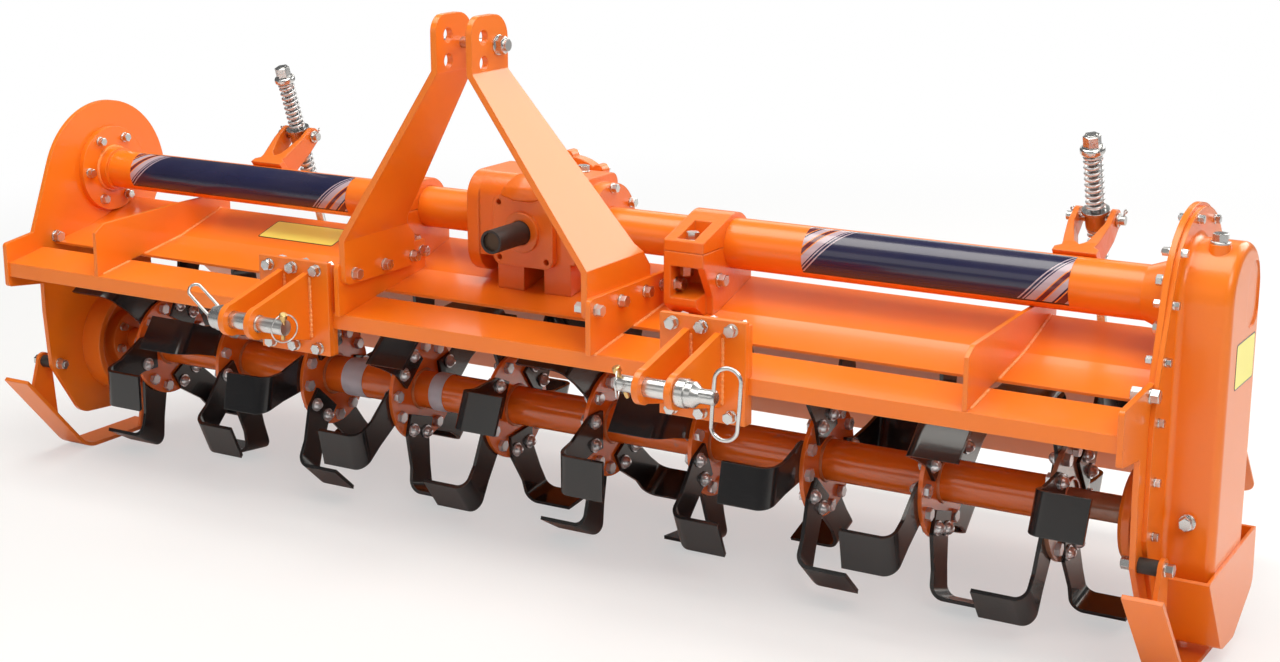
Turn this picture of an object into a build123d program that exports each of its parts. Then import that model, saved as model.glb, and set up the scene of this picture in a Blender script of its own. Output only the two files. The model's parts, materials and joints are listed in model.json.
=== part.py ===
from build123d import *
from math import acos, atan2, cos, degrees, hypot, radians, sin
import os

# Rotavator for a three-point hitch, in millimetres.
# X runs along the rotor, -Y is the tractor's side, +Z is up and z = 0 is the floor.
# y = 0 holds both the rotor's axis and the cross tube's axis.

# ---- driving dimensions ------------------------------------------------------------------------
SEAT = 0.3                  # working gap between pieces that move on each other
PLATE = 10                  # side plates
mast_x = -42                # middle of the mast, gearbox and input shaft

# rotor
rotor_z = 232
rotor_tube_r = 38
flange_r = 105
flange_t = 8
flange_count = 10
flange_pitch = 225
first_flange_x = -1036
stub_r = 24
left_gap = 148              # from the first flange to the left side plate's inner face
right_gap = 173             # from the last flange to the gear plate's inner face
left_plate_x = first_flange_x - left_gap
last_flange_x = first_flange_x + (flange_count - 1) * flange_pitch
right_plate_x = last_flange_x + right_gap

# tines
tine_tip_r = 226            # reach of the cutting edge from the rotor's axis
tine_t = 7
tine_reach = 100            # length along the rotor, from the flange's face
tine_bend_r = 26
tine_root_w = 74            # holds two bolts side by side
tine_tip_w = 74             # width of the cutting part, along its travel
tine_root_low = 54          # inner end of the root
tine_neck = (98, 150, 160)  # where the root starts to sweep back, and where its edges turn
tine_sweep = 82             # how far the cutting part trails behind the root
tines_per_side = 3
helix_start = -30           # turn of the first flange's tines, degrees
helix_step = 24             # turn from one flange to the next

# side plates, as (y, z)
left_dome = (-8, 578, 176)  # middle and radius of the round top
gear_dome = (24, 608, 150)
left_step = (-229, 505)     # where the front edge turns forward to the nose
gear_step = (-160, 504)
plate_toe = (-130, 88)
plate_heel = (106, 70)
plate_front = -212          # below the nose
plate_nose = -306
nose_h = 90

# cross tube
tube_z = 608
tube_r = 40
sleeve_r = 46
tube_wall = 6
tube_flange_r = 90
tube_flange_t = 12
flare_len = 44              # at the right-hand end
flare_rise = 16
clamp_w = 80
clamp_off = (288, 310)      # from the mast's middle to each clamp's near side
clamp_front_y = -120

# front beam and hood, as (y, z) of their upper surface
SHEET = 5
beam_front = (-302, 455)
beam_slope = 0.167
beam_w = 96
beam_lip = 29
beam_t = 6
slot_w = 34
strip_w = 114
main_slope = 0.30
main_w = 125
hinge = (120, 500)
hinge_rod_r = 7
knuckle_r = 12
FAR = 1000                  # longer than any piece is wide

# mast
mast_t = 12
mast_gap = 63               # between the two top plates
mast_foot_gap = 512         # between the two legs where they are upright again
mast_top_z = 1021
mast_head = 101             # upright length of each leg at the top link
mast_bend_z = mast_top_z - mast_head
mast_low_bend_z = 597
mast_front_y = -318
mast_rear_y = -208
leg_foot_y = (-310, -95)
leg_bottom_z = 513
link_hole_y = -282
link_hole_z = (mast_top_z - 37, mast_top_z - 82)
link_hole_r = 12.9
tie_hole = (-238, mast_top_z - 54)
tie_r = 10
foot_t = 10
foot_rear_y = -46
foot_top_z = 554

# lower hitch
bracket_x = (-418, 454)
bracket_w = 163
bracket_z = (374, 551)
bracket_t = 12
ear_t = 12
ear_gap = 48
ear_r = 30
pin_y = -456
pin_z = 463
pin_r = 14.2                # free end, which holds the lower link's ball
pin_shank_r = 16            # through the ears
pin_fit = 0.3
pin_shoulder = 2
pin_free = (60, 40)         # length of the free end, left and right
pin_head = 18

# gearbox and input shaft
shaft_z = 605
shaft_r = 17.4
cap_r = 22
shaft_front_y = -209
box_front_y = -92
box_w = 210
box_rear_y = 62
box_z = (550, 704)
box_flange_r = 96           # half the width of the rounded left flange
box_flange_corner = 50
box_right_r = 84
box_flange_t = 26
box_crown = 40              # rounding from the front face to the top
box_foot_w = 58
box_foot_x = (-65, 38)      # near edges of the two feet, from the middle
cover_hole_pitch = 104
cover_corner = 18
cover_w = cover_hole_pitch + 28
cover_hole_r = 5.5
cover_t = 14
rear_cover_z = shaft_z + 25
rear_cover_r = 92
rear_cover_t = 34
boss_r = 12                 # round its rim
boss_count = 8

# gear case on the right-hand plate
case_w = 176
case_t = 92
case_top_z = 620            # middle of its upper round end
case_low_z = 176            # middle of its lower round end
case_rim = 14
case_rim_t = 8
case_flare = 10             # rounding from the rim to the wall
case_round = 14             # rounding of the outer face's edge
flange_edge = [(-166, 500), (-178, 440), (-178, 250), (-150, 180), (-110, 110)]
flange_inset = 6            # from the edge of the gear plate
panel = (4, 76, 562, 672)   # pressed panel on the outer face, as y and z limits
panel_depth = 3
panel_corner = 34
filler = (53, -35)          # off the gear plate and the case's middle
filler_r = 17
drain = (47, 263)           # off the gear plate, and up from the floor
drain_r = 13

# bearings of the rotor
hub_r = 115                 # left drum
hub_t = 50
hub_wall = 14
hub_boss_r = 62
drum_r = 88                 # right drum
drum_len = 60

# skids and guard, as (y, z)
skid_w = 66
skid_t = 8
skid_nose = (-264, 190)
skid_bend = (-108, skid_t)
skid_rear_y = 104
skid_bend_r = 60
lug_off = 34                # length of the spacer between a side plate and a skid's front lug
lug_t = 8
lug_r = 18
spacer_r = 13
skid_bolt_r = 7
front_lug = (-184, 212)     # bolt of the front lug
rear_lug = (88, 90)         # bolt of the rear lug, which lies flat on the plate
guard_t = 6
guard_bend_r = 20
guard_line = [(-120, 178), (-20, 34, guard_bend_r), (50, 32, guard_bend_r),
              (150, 92, guard_bend_r), (146, 190)]

# spring rods and their forks
rod_inset = (432, 189)      # from each side plate
rod_x = (left_plate_x + rod_inset[0], right_plate_x - rod_inset[1])
rod_r = 9
trunnion = (119, 697)
trunnion_len = 34
trunnion_r = 19
trunnion_rim_r = 24
trunnion_pin_r = 8
horn_t = 10
fork_gap = 54
fork_neck = 28              # half the yoke's width below its horns
notch_depth = 84            # from the trunnion's pin to the bottom of the notch
horn_r = 18
rod_above = 156
rod_tip = 35                # rod above its upper spring
eye_along = 80
eye_off = 22
spring_r = 17
lower_spring_len = 110
eye_pin_r = 8
eye_play = 2.7              # room in the rod's eye for the board's swing

# trailing board, as lengths and angles below level from the hinge
board_t = 4
board_angle = 42
board_len = 330
lip_angle = 48.5
lip_len = 188
lip_corner = 32
board_over = 24             # past the side plates' inner faces
board_x = (left_plate_x - board_over, right_plate_x + board_over)


# ---- helpers -----------------------------------------------------------------------------------
def block(x, y, z):
    """A box between pairs of coordinates."""
    size = Box(x[1] - x[0], y[1] - y[0], z[1] - z[0], align=(Align.MIN,) * 3)
    return Pos(x[0], y[0], z[0]) * size


def round_x(x0, x1, y, z, r, bore=0):
    """A bar, disc or tube along X."""
    body = Cylinder(r, x1 - x0, align=(Align.CENTER, Align.CENTER, Align.MIN))
    if bore:
        body -= Cylinder(bore, 3 * (x1 - x0))
    return Pos(x0, y, z) * Rot(0, 90, 0) * body


def round_y(x, y0, y1, z, r, bore=0):
    """A bar, disc or tube along Y."""
    body = Cylinder(r, y1 - y0, align=(Align.CENTER, Align.CENTER, Align.MIN))
    if bore:
        body -= Cylinder(bore, 3 * (y1 - y0))
    return Pos(x, y0, z) * Rot(-90, 0, 0) * body


def side_plate(points, x, t):
    """A plate square to X. Each point is (y, z) or (y, z, corner radius)."""
    outline = Polygon(*[(p[0], p[1]) for p in points], align=None)
    face = Plane.YZ * outline
    solid = Pos(x, 0, 0) * extrude(face, t, dir=(1, 0, 0))
    for p in points:
        if len(p) > 2:
            corner = [e for e in solid.edges().filter_by(Axis.X)
                      if hypot(e.center().Y - p[0], e.center().Z - p[1]) < 0.01]
            solid = fillet(corner, p[2])
    return solid


def strip(points, t):
    """Outline of a folded sheet of thickness t under the line through (y, z[, bend radius]) points."""
    normals = []
    for a, b in zip(points, points[1:]):
        run = hypot(b[0] - a[0], b[1] - a[1])
        normals.append(((b[1] - a[1]) / run, -(b[0] - a[0]) / run))
    under = []
    for i, p in enumerate(points):
        m = normals[max(i - 1, 0)]
        n = normals[min(i, len(normals) - 1)]
        scale = t / (1 + m[0] * n[0] + m[1] * n[1])
        corner = (p[0] + (m[0] + n[0]) * scale, p[1] + (m[1] + n[1]) * scale)
        hollow = m[0] * n[1] - m[1] * n[0] > 0
        under.append(corner + ((p[2] + t if hollow else p[2] - t),) if len(p) > 2 else corner)
    return list(points) + under[::-1]


def folded(points, t, x):
    """A folded sheet that runs along X."""
    return side_plate(strip(points, t), x[0], x[1] - x[0])


def from_hinge(along, off, angle=board_angle):
    """A point on the trailing board, measured from its hinge and off its outer face."""
    a = radians(angle)
    return (hinge[0] + along * cos(a) + off * sin(a), hinge[1] - along * sin(a) + off * cos(a))


rod_eye = from_hinge(eye_along, eye_off)

# ---- lines of the beam and the hood ------------------------------------------------------------
beam_back = (beam_front[0] + beam_w, beam_front[1] + beam_w * beam_slope)
strip_front = (beam_back[0] + slot_w, beam_back[1] + slot_w * beam_slope)
fold = (strip_front[0] + strip_w, strip_front[1] + strip_w * beam_slope)
crest = (fold[0] + main_w, fold[1] + main_w * main_slope)
hood_end = (hinge[0] - knuckle_r - 6, hinge[1] + knuckle_r)
hood_line = [strip_front, fold, crest, hood_end]
inner_x = (left_plate_x, right_plate_x)
deck_line = [beam_front, beam_back, strip_front, fold, crest, hood_end]


def deck_z(y):
    """Height of the beam's or hood's upper surface at y."""
    for a, b in zip(deck_line, deck_line[1:]):
        if y <= b[0]:
            return a[1] + (y - a[0]) * (b[1] - a[1]) / (b[0] - a[0])
    return deck_line[-1][1]


def on_deck(y0, y1, above):
    """Points that follow the deck from y0 to y1, then come back through those above."""
    folds = [p for p in deck_line if y0 < p[0] < y1]
    return [(y0, deck_z(y0))] + folds + [(y1, deck_z(y1))] + above


# ---- frame -------------------------------------------------------------------------------------
def touch(p, circle):
    """Where a straight edge from p meets a circle's front side."""
    run = hypot(p[0] - circle[0], p[1] - circle[1])
    a = atan2(p[1] - circle[1], p[0] - circle[0]) - acos(circle[2] / run)
    return (circle[0] + circle[2] * cos(a), circle[1] + circle[2] * sin(a))


def plate_outline(x, t, dome, step):
    """Side plate with a domed top, a nose round the beam's end and a tapered foot."""
    foot = [plate_toe + (45,), plate_heel + (12,)]
    back = [(plate_heel[0] + 2, hinge[1] - 60), (hinge[0] + knuckle_r, hinge[1] + 20),
            (dome[0] + dome[2], dome[1])]
    nose_top, nose_low = beam_front[1] + 40, beam_front[1] + 40 - nose_h
    front = [touch(step, dome), step, (plate_nose, nose_top, 8), (plate_nose, nose_low, 8),
             (plate_front, nose_low - 12), (plate_front, rotor_z + 98), (plate_front + 8, rotor_z - 22)]
    top = round_x(x, x + t, *dome) & block((x, x + t), (-FAR, FAR), (dome[1], FAR))
    return side_plate(foot + back + front, x, t) + top


left_side_plate = plate_outline(left_plate_x - PLATE, PLATE, left_dome, left_step)
gear_plate = plate_outline(right_plate_x, PLATE, gear_dome, gear_step)

lip_bottom = (beam_front[0], beam_front[1] - beam_lip)
back_bottom = (beam_back[0], beam_back[1] - beam_lip)
front_beam = folded([lip_bottom, beam_front, beam_back, back_bottom], beam_t, inner_x)

# the hood's knuckles and the board's take turns along the hinge rod
knuckle_w = 60
knuckle_count = 9
knuckle_step = (inner_x[1] - inner_x[0] - knuckle_w - 40) / (knuckle_count - 1)
knuckles = [inner_x[0] + 20 + i * knuckle_step for i in range(knuckle_count)]


def knuckle(x, r=knuckle_r, bore=hinge_rod_r + SEAT):
    return round_x(x, x + knuckle_w, hinge[0], hinge[1], r, bore)


hood = folded(hood_line, SHEET, inner_x)
tab_root = (hood_end[0] - 30, hood_end[1] - 30 * (hood_end[1] - crest[1]) / (hood_end[0] - crest[0]))
for x in knuckles[::2]:
    hood += folded([tab_root, hood_end, (hinge[0] - 4, hinge[1] + knuckle_r - 1)], SHEET, (x, x + knuckle_w))
    hood += knuckle(x, bore=hinge_rod_r)
    hood -= round_x(x - 1, x + knuckle_w + 1, hinge[0], hinge[1], hinge_rod_r)
hinge_rod = round_x(inner_x[0], inner_x[1], hinge[0], hinge[1], hinge_rod_r)

rib_t = 8
rib_x = (-942, 911)
rib_rear_y = 98
rib_top = [(rib_rear_y, 546), (46, 564), (-60, 564), (-276, 558, 20), (beam_front[0] + 1, 543)]
hood_ribs = []
for x in rib_x:
    rib = side_plate(on_deck(beam_front[0] + 1, rib_rear_y, rib_top), x, rib_t)
    hood_ribs.append(rib - round_x(x - 1, x + rib_t + 1, 0, tube_z, sleeve_r if x > 0 else tube_r))

# ---- cross tube, its end flanges and clamps ----------------------------------------------------
box_half = box_w / 2 + box_flange_t
left_tube_x = (left_plate_x + tube_flange_t, mast_x - box_half)
right_tube_x = (mast_x + box_half, right_plate_x - tube_flange_t)
clamp_x = (mast_x - clamp_off[0] - clamp_w, mast_x + clamp_off[1])
sleeve_x = clamp_x[1] + clamp_w
left_tube = round_x(*left_tube_x, 0, tube_z, tube_r, tube_r - tube_wall)
left_tube += round_x(left_tube_x[0], left_tube_x[0] + 22, 0, tube_z, sleeve_r, tube_r - tube_wall)
right_tube = (round_x(*right_tube_x, 0, tube_z, tube_r, tube_r - tube_wall)
              + round_x(sleeve_x, right_tube_x[1], 0, tube_z, sleeve_r, tube_r - tube_wall))
flare = Cone(sleeve_r, sleeve_r + flare_rise, flare_len, align=(Align.CENTER, Align.CENTER, Align.MIN))
flare -= Cylinder(tube_r, FAR)
right_tube += Pos(right_tube_x[1] - flare_len, 0, tube_z) * Rot(0, 90, 0) * flare
left_tube_flange = round_x(left_plate_x, left_tube_x[0], 0, tube_z, tube_flange_r)
right_tube_flange = round_x(right_tube_x[1], right_plate_x, 0, tube_z, tube_flange_r)

clamp_wall = 16
clamp_rear_y = 62
clamp_side = 14             # walls beside the foot's front window
clamp_ledge = 26            # thickness of the foot's bolting ledge
clamp_draft = 16            # how much the right side draws in towards the front


def draft(x):
    """Wedge to cut off a clamp's right side, which draws in towards the front."""
    right, front = x + clamp_w, clamp_front_y - 1
    wedge = Polygon((right + 1, -tube_r - 16), (right + 1, front), (right - clamp_draft, front), align=None)
    return extrude(wedge, FAR)


def clamp_foot(x, front=clamp_front_y):
    """Lower half of a tube clamp: a bored casting with a ledge, walls and a deep window in front."""
    top = tube_z - SEAT
    toe = front + 30
    upper = [(clamp_rear_y, top), (front, top), (front, deck_z(toe) + 20, 8)]
    body = side_plate(on_deck(toe, clamp_rear_y, upper), x, clamp_w)
    body -= round_x(x - 1, x + clamp_w + 1, 0, tube_z, tube_r)
    low, high = deck_z(toe) + 34, top - clamp_ledge
    back = -tube_r - 8
    window = side_plate([(front - 1, low), (back, low + 12), (back, high), (front - 1, high)],
                        x + clamp_side, clamp_w - 2 * clamp_side)
    slope = [(front - 1, 0), (front + 52, 0), (front + 36, low), (front + 4, high), (front - 1, high)]
    bevel = side_plate(slope, x + clamp_w - clamp_side, clamp_side + 1)
    return body - window - bevel - draft(x)


def clamp_cap(x, front=clamp_front_y):
    """Upper half of a tube clamp: a strap that slopes to a front lug with a pocket for its bolt."""
    outer = (0, tube_z, tube_r + clamp_wall)
    nose = (front, tube_z + 20)
    cap = side_plate([(clamp_rear_y, tube_z + SEAT), (clamp_rear_y, tube_z + 18), (0, tube_z + 18),
                      touch(nose, outer), nose, (front, tube_z + SEAT)], x, clamp_w)
    upper_half = block((x, x + clamp_w), (-FAR, FAR), (tube_z + SEAT, tube_z + FAR))
    cap += round_x(x, x + clamp_w, *outer) & upper_half
    pocket = block((x + 22, x + clamp_w - 22), (front + 8, -tube_r - 6), (tube_z + 16, tube_z + FAR))
    return cap - pocket - round_x(x - 1, x + clamp_w + 1, 0, tube_z, tube_r) - draft(x)


clamp_feet = [clamp_foot(x) for x in clamp_x]
clamp_caps = [clamp_cap(x) for x in clamp_x]

# ---- gearbox -----------------------------------------------------------------------------------
box_x = (mast_x - box_w / 2, mast_x + box_w / 2)
housing = block(box_x, (box_front_y, box_rear_y), box_z)
long_edges = housing.edges().filter_by(Axis.X)
front_top = long_edges.group_by(Axis.Z)[-1].sort_by(Axis.Y)[0]
housing = fillet(front_top, box_crown)
rear_top = housing.edges().filter_by(Axis.X).group_by(Axis.Z)[-1].sort_by(Axis.Y)[-1]
housing = fillet(rear_top, 22)
for x0, x1, r, corner in ((mast_x - box_half, box_x[0], box_flange_r, box_flange_corner),
                          (box_x[1], mast_x + box_half, box_right_r, box_right_r - 1)):
    flange = block((x0, x1), (-r, r), (tube_z - r, tube_z + r))
    flange = fillet(flange.edges().filter_by(Axis.X), corner)
    past = r + 1
    over_deck = on_deck(-past, past, [(past, tube_z + past), (-past, tube_z + past)])
    housing += flange & side_plate([(y, z + 5) for y, z in over_deck], x0, x1 - x0)
for dx in box_foot_x:
    foot = side_plate(on_deck(box_front_y, 40, [(40, box_z[0] + 20), (box_front_y, box_z[0] + 20)]),
                      mast_x + dx, box_foot_w)
    housing += foot
cover_z = (shaft_z - cover_w / 2, shaft_z + cover_w / 2)
cover_y = (box_front_y - cover_t, box_front_y)
front_cover = block((mast_x - cover_w / 2, mast_x + cover_w / 2), cover_y, cover_z)
front_cover = fillet(front_cover.edges().filter_by(Axis.Y), cover_corner)
front_cover += round_y(mast_x, cover_y[0] - 8, cover_y[0], shaft_z, 38)
front_cover -= round_y(mast_x, cover_y[0] - 9, cover_y[1] + 1, shaft_z, cap_r + 1)
for dx in (-cover_hole_pitch / 2, cover_hole_pitch / 2):
    for dz in (-cover_hole_pitch / 2, cover_hole_pitch / 2):
        front_cover -= round_y(mast_x + dx, cover_y[0] - 1, cover_y[1] + 1, shaft_z + dz, cover_hole_r)
rear_y = (box_rear_y, box_rear_y + rear_cover_t)
rear_cover = round_y(mast_x, *rear_y, rear_cover_z, rear_cover_r)
rear_cover = chamfer(rear_cover.edges().filter_by(GeomType.CIRCLE).sort_by(Axis.Y)[-1], 10)
for i in range(boss_count):
    a = radians(4 + 360 / boss_count * i)
    boss = (mast_x + rear_cover_r * cos(a), rear_cover_z + rear_cover_r * sin(a))
    rear_cover += round_y(boss[0], rear_y[0], rear_y[1] - 10, boss[1], boss_r)
rear_cover += round_y(mast_x, rear_y[1] - 1, rear_y[1] + 8, rear_cover_z, 40)
rear_cover -= block((mast_x - FAR, mast_x + FAR), (0, FAR), (0, crest[1] + 5))

pto_shaft = round_y(mast_x, shaft_front_y + 6, box_front_y, shaft_z, shaft_r)
pto_cap = round_y(mast_x, shaft_front_y, box_front_y, shaft_z, cap_r, shaft_r)

# ---- gear case ---------------------------------------------------------------------------------
case_x = right_plate_x + PLATE


def stadium(x0, x1, r, low_z=case_low_z):
    """An upright plate or case with round ends on the line y = 0."""
    top = round_x(x0, x1, 0, case_top_z, r)
    low = round_x(x0, x1, 0, low_z, r)
    return top + low + block((x0, x1), (-r, r), (low_z, case_top_z))


case_r = case_w / 2
case_shell = stadium(case_x, case_x + case_t, case_r)
gear_case = fillet(case_shell.edges().group_by(Axis.X)[-1], case_round)
rim_x = (case_x, case_x + case_rim_t)
inner_dome = gear_dome[:2] + (gear_dome[2] - flange_inset,)
flange_rear = [(case_r + case_rim, case_low_z), (case_r + case_rim, hinge[1] - 60),
               (hinge[0] + knuckle_r - flange_inset, hinge[1] + 20),
               (inner_dome[0] + inner_dome[2], inner_dome[1])]
case_flange = side_plate([touch(flange_edge[0], inner_dome)] + flange_edge + flange_rear, case_x, case_rim_t)
case_flange += round_x(*rim_x, *inner_dome) + round_x(*rim_x, 0, case_low_z, case_r + case_rim)
gear_case += case_flange
root = [e for e in gear_case.edges() if abs(e.center().X - rim_x[1]) < 0.1
        and abs(e.bounding_box().max.Y) < case_r + 0.1 and abs(e.bounding_box().min.Y) < case_r + 0.1]
gear_case = fillet(root, case_flare)
pressed = block((case_x + case_t - panel_depth, case_x + case_t + 1), panel[:2], panel[2:])
gear_case -= fillet(pressed.edges().filter_by(Axis.X), panel_corner)
crown_z = case_top_z + (case_r ** 2 - filler[1] ** 2) ** 0.5
gear_case += Pos(case_x + filler[0], filler[1], crown_z - 14) * Cylinder(filler_r, 44)
gear_case += round_y(case_x + drain[0], -case_r - 4, 0, drain[1], drain_r)

# ---- rotor bearings ----------------------------------------------------------------------------
rotor_end_x = (first_flange_x - flange_t / 2, last_flange_x + flange_t / 2)
stub_bore = stub_r + SEAT
left_hub = round_x(left_plate_x, left_plate_x + hub_t, 0, rotor_z, hub_r)
left_hub -= round_x(left_plate_x + hub_wall, left_plate_x + hub_t + 1, 0, rotor_z, hub_r - hub_wall)
left_hub += round_x(left_plate_x, left_plate_x + hub_t - 8, 0, rotor_z, hub_boss_r)
left_hub -= round_x(left_plate_x + 12, left_plate_x + hub_t + 1, 0, rotor_z, stub_bore)
drum_x = (right_plate_x - drum_len, right_plate_x)
right_hub = round_x(*drum_x, 0, rotor_z, drum_r)
right_hub = chamfer(right_hub.edges().filter_by(GeomType.CIRCLE).sort_by(Axis.X)[0], 8)
right_hub += round_x(drum_x[1] - 10, drum_x[1], 0, rotor_z, drum_r + 16)
right_hub -= round_x(drum_x[0] + 22, drum_x[0] + 28, 0, rotor_z, drum_r + 1, drum_r - 4)
right_hub -= round_x(drum_x[0] - 1, drum_x[1] - 12, 0, rotor_z, stub_bore)

# ---- mast --------------------------------------------------------------------------------------
half_gap = mast_gap / 2
half_foot = mast_foot_gap / 2
leg_side = [(leg_foot_y[0], leg_bottom_z, 16), (leg_foot_y[1], leg_bottom_z, 16), (leg_foot_y[1], 572),
            (leg_foot_y[1] - 38, mast_low_bend_z + 20),
            (mast_rear_y, mast_bend_z), (mast_rear_y, mast_top_z, 42),
            (mast_front_y, mast_top_z, 30), (mast_front_y, mast_bend_z),
            (mast_front_y + 8, mast_low_bend_z)]


def mast_leg(side):
    """A leg bent from one plate: upright at the top link, splayed, upright at its foot."""
    inner = [(half_foot, leg_bottom_z - 1), (half_foot, mast_low_bend_z),
             (half_gap, mast_bend_z), (half_gap, mast_top_z + 1)]
    section = Polygon(*[(side * x, z) for x, z in strip(inner, mast_t)], align=None)
    bar = extrude(Plane.XZ * section, amount=FAR, both=True)
    leg = Pos(mast_x, 0, 0) * bar & side_plate(leg_side, mast_x - FAR, 2 * FAR)
    for z in link_hole_z:
        leg -= round_x(mast_x - FAR, mast_x + FAR, link_hole_y, z, link_hole_r)
    return leg - round_x(mast_x - FAR, mast_x + FAR, *tie_hole, tie_r)


mast_left_leg = mast_leg(-1)
mast_right_leg = mast_leg(1)
tie_half = half_gap + mast_t + 22
mast_tie = round_x(mast_x - tie_half, mast_x + tie_half, *tie_hole, tie_r)
foot_x = (mast_x - half_foot - mast_t - foot_t, mast_x + half_foot + mast_t)
foot_front_y = beam_front[0] - 14
foot_edge = [(foot_rear_y, foot_top_z), (foot_front_y, foot_top_z, 12), (foot_front_y, beam_front[1])]
mast_feet = [side_plate(on_deck(beam_front[0], foot_rear_y, foot_edge), x, foot_t) for x in foot_x]

# ---- lower hitch -------------------------------------------------------------------------------
bracket_y = (beam_front[0] - bracket_t, beam_front[0])
half_ear = ear_gap / 2


def hitch_bracket(x):
    """Front plate with two ears, which hold a lower-link pin."""
    bracket = block((x - bracket_w / 2, x + bracket_w / 2), bracket_y, bracket_z)
    for x0 in (x - half_ear - ear_t, x + half_ear):
        ear = side_plate([(bracket_y[0], bracket_z[1] - 22), (bracket_y[0], bracket_z[0] + 26),
                          (pin_y + 6, pin_z - ear_r), (pin_y - 12, pin_z + ear_r * 0.9)], x0, ear_t)
        bracket += ear + round_x(x0, x0 + ear_t, pin_y, pin_z, ear_r)
    return bracket - round_x(x - bracket_w, x + bracket_w, pin_y, pin_z, pin_shank_r + pin_fit)


hitch_brackets = [hitch_bracket(x) for x in bracket_x]
back_t = 12
back_y = (beam_front[0], beam_front[0] + back_t)
bracket_backs = []
for x in bracket_x:
    upper = [(back_y[1], bracket_z[1] - 6), (back_y[0], bracket_z[1] - 6)]
    bracket_backs.append(side_plate(on_deck(*back_y, upper), x - bracket_w / 2 + 8, bracket_w - 8))
    lower = ((x - bracket_w / 2 + 8, x + bracket_w / 2), back_y, (bracket_z[0], beam_front[1] - beam_lip))
    bracket_backs.append(block(*lower))


def hitch_pin(x, side, free):
    """Lower-link pin with a collar on the side given and a thinner free end on the other."""
    outer = half_ear + ear_t
    shank = sorted((x + side * (outer + 4), x - side * (outer + pin_shoulder)))
    ends = sorted((x + side * outer, x - side * (outer + pin_shoulder + free)))
    collar = sorted((x + side * (outer + 1), x + side * (outer + pin_head)))
    return (round_x(*shank, pin_y, pin_z, pin_shank_r) + round_x(*ends, pin_y, pin_z, pin_r)
            + round_x(*collar, pin_y, pin_z, pin_shank_r + 8))


hitch_pins = [hitch_pin(bracket_x[0], -1, pin_free[0]), hitch_pin(bracket_x[1], 1, pin_free[1])]

# ---- skids and guard ---------------------------------------------------------------------------
def on_skid(share):
    """A point of the runner's sloping front, as a share of its length from the bend."""
    return (skid_bend[0] + share * (skid_nose[0] - skid_bend[0]),
            skid_bend[1] + share * (skid_nose[1] - skid_bend[1]))


def skid(plate_x, side):
    """A bent runner with two lugs, which are bolted to a side plate."""
    runner_x = sorted((plate_x, plate_x + side * skid_w))
    body = folded([skid_nose, skid_bend + (skid_bend_r,), (skid_rear_y, skid_t)], skid_t, runner_x)
    for bolt, off, base in ((front_lug, lug_off, [on_skid(0.75), on_skid(0.3)]),
                            (rear_lug, 0, [(rear_lug[0] - 34, skid_t), (rear_lug[0] + 12, skid_t)])):
        lug_x = min(plate_x + side * off, plate_x + side * (off + lug_t))
        sides = [(bolt[0] + lug_r, bolt[1]), (bolt[0] - lug_r, bolt[1])]
        body += side_plate(base + sides, lug_x, lug_t) + round_x(lug_x, lug_x + lug_t, *bolt, lug_r)
        body -= round_x(lug_x - 1, lug_x + lug_t + 1, *bolt, skid_bolt_r)
    return body


left_skid = skid(left_plate_x - PLATE, -1)
right_skid = skid(case_x, 1)
skid_spacers = [round_x(x, x + lug_off, *front_lug, spacer_r, skid_bolt_r)
                for x in (left_plate_x - PLATE - lug_off, case_x)]

# a boot of folded plate round the gear case's lower end, seated on the case's rim
guard_x = (case_x + case_rim_t, case_x + case_t + guard_t)
case_guard = folded(guard_line, guard_t, guard_x)
case_guard += side_plate(guard_line, guard_x[1] - guard_t, guard_t)

# ---- forks of the spring rods ------------------------------------------------------------------
half_fork = fork_gap / 2
yoke_len = hypot(trunnion[0], trunnion[1] - tube_z)
yoke_lean = degrees(atan2(trunnion[0], trunnion[1] - tube_z))


def yoke(x):
    """A forged yoke from the cross tube to a trunnion: a saddle, a neck and two horns round a deep notch."""
    saddle_r = sleeve_r if x > sleeve_x else tube_r
    horn = half_fork + horn_t
    notch = yoke_len - notch_depth
    base = fork_neck + 10
    half = [(0, saddle_r - 6), (base, saddle_r - 6), (base, saddle_r + 7), (fork_neck, saddle_r + 14),
            (fork_neck + 4, notch + 18), (horn, yoke_len - 30), (horn, yoke_len + horn_r),
            (half_fork, yoke_len + horn_r), (half_fork, yoke_len - 26), (12, notch + 10), (0, notch)]
    section = Polygon(*(half + [(-p[0], p[1]) for p in half[::-1][1:-1]]), align=None)
    side = side_plate([(-34, saddle_r - 8), (-24, saddle_r + 24), (-horn_r, yoke_len), (horn_r, yoke_len),
                       (24, saddle_r + 24), (34, saddle_r - 8)], -horn - 10, 2 * horn + 20)
    side += round_x(-horn - 10, horn + 10, 0, yoke_len, horn_r)
    body = extrude(Plane.XZ * section, amount=60, both=True) & side
    body = Pos(x, 0, tube_z) * Rot(-yoke_lean, 0, 0) * body
    body -= round_x(x - FAR, x + FAR, 0, tube_z, saddle_r)
    return body - round_x(x - FAR, x + FAR, *trunnion, trunnion_pin_r + SEAT)


spring_forks = [yoke(x) for x in rod_x]

# ---- rotor -------------------------------------------------------------------------------------
flanges_x = [first_flange_x + i * flange_pitch for i in range(flange_count)]
rotor_tube = round_x(*rotor_end_x, 0, rotor_z, rotor_tube_r)
for x in flanges_x:
    rotor_tube += round_x(x - flange_t / 2, x + flange_t / 2, 0, rotor_z, flange_r)
stub_x = (left_plate_x + 14, right_plate_x - 14)
rotor_tube += round_x(*stub_x, 0, rotor_z, stub_r)

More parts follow.
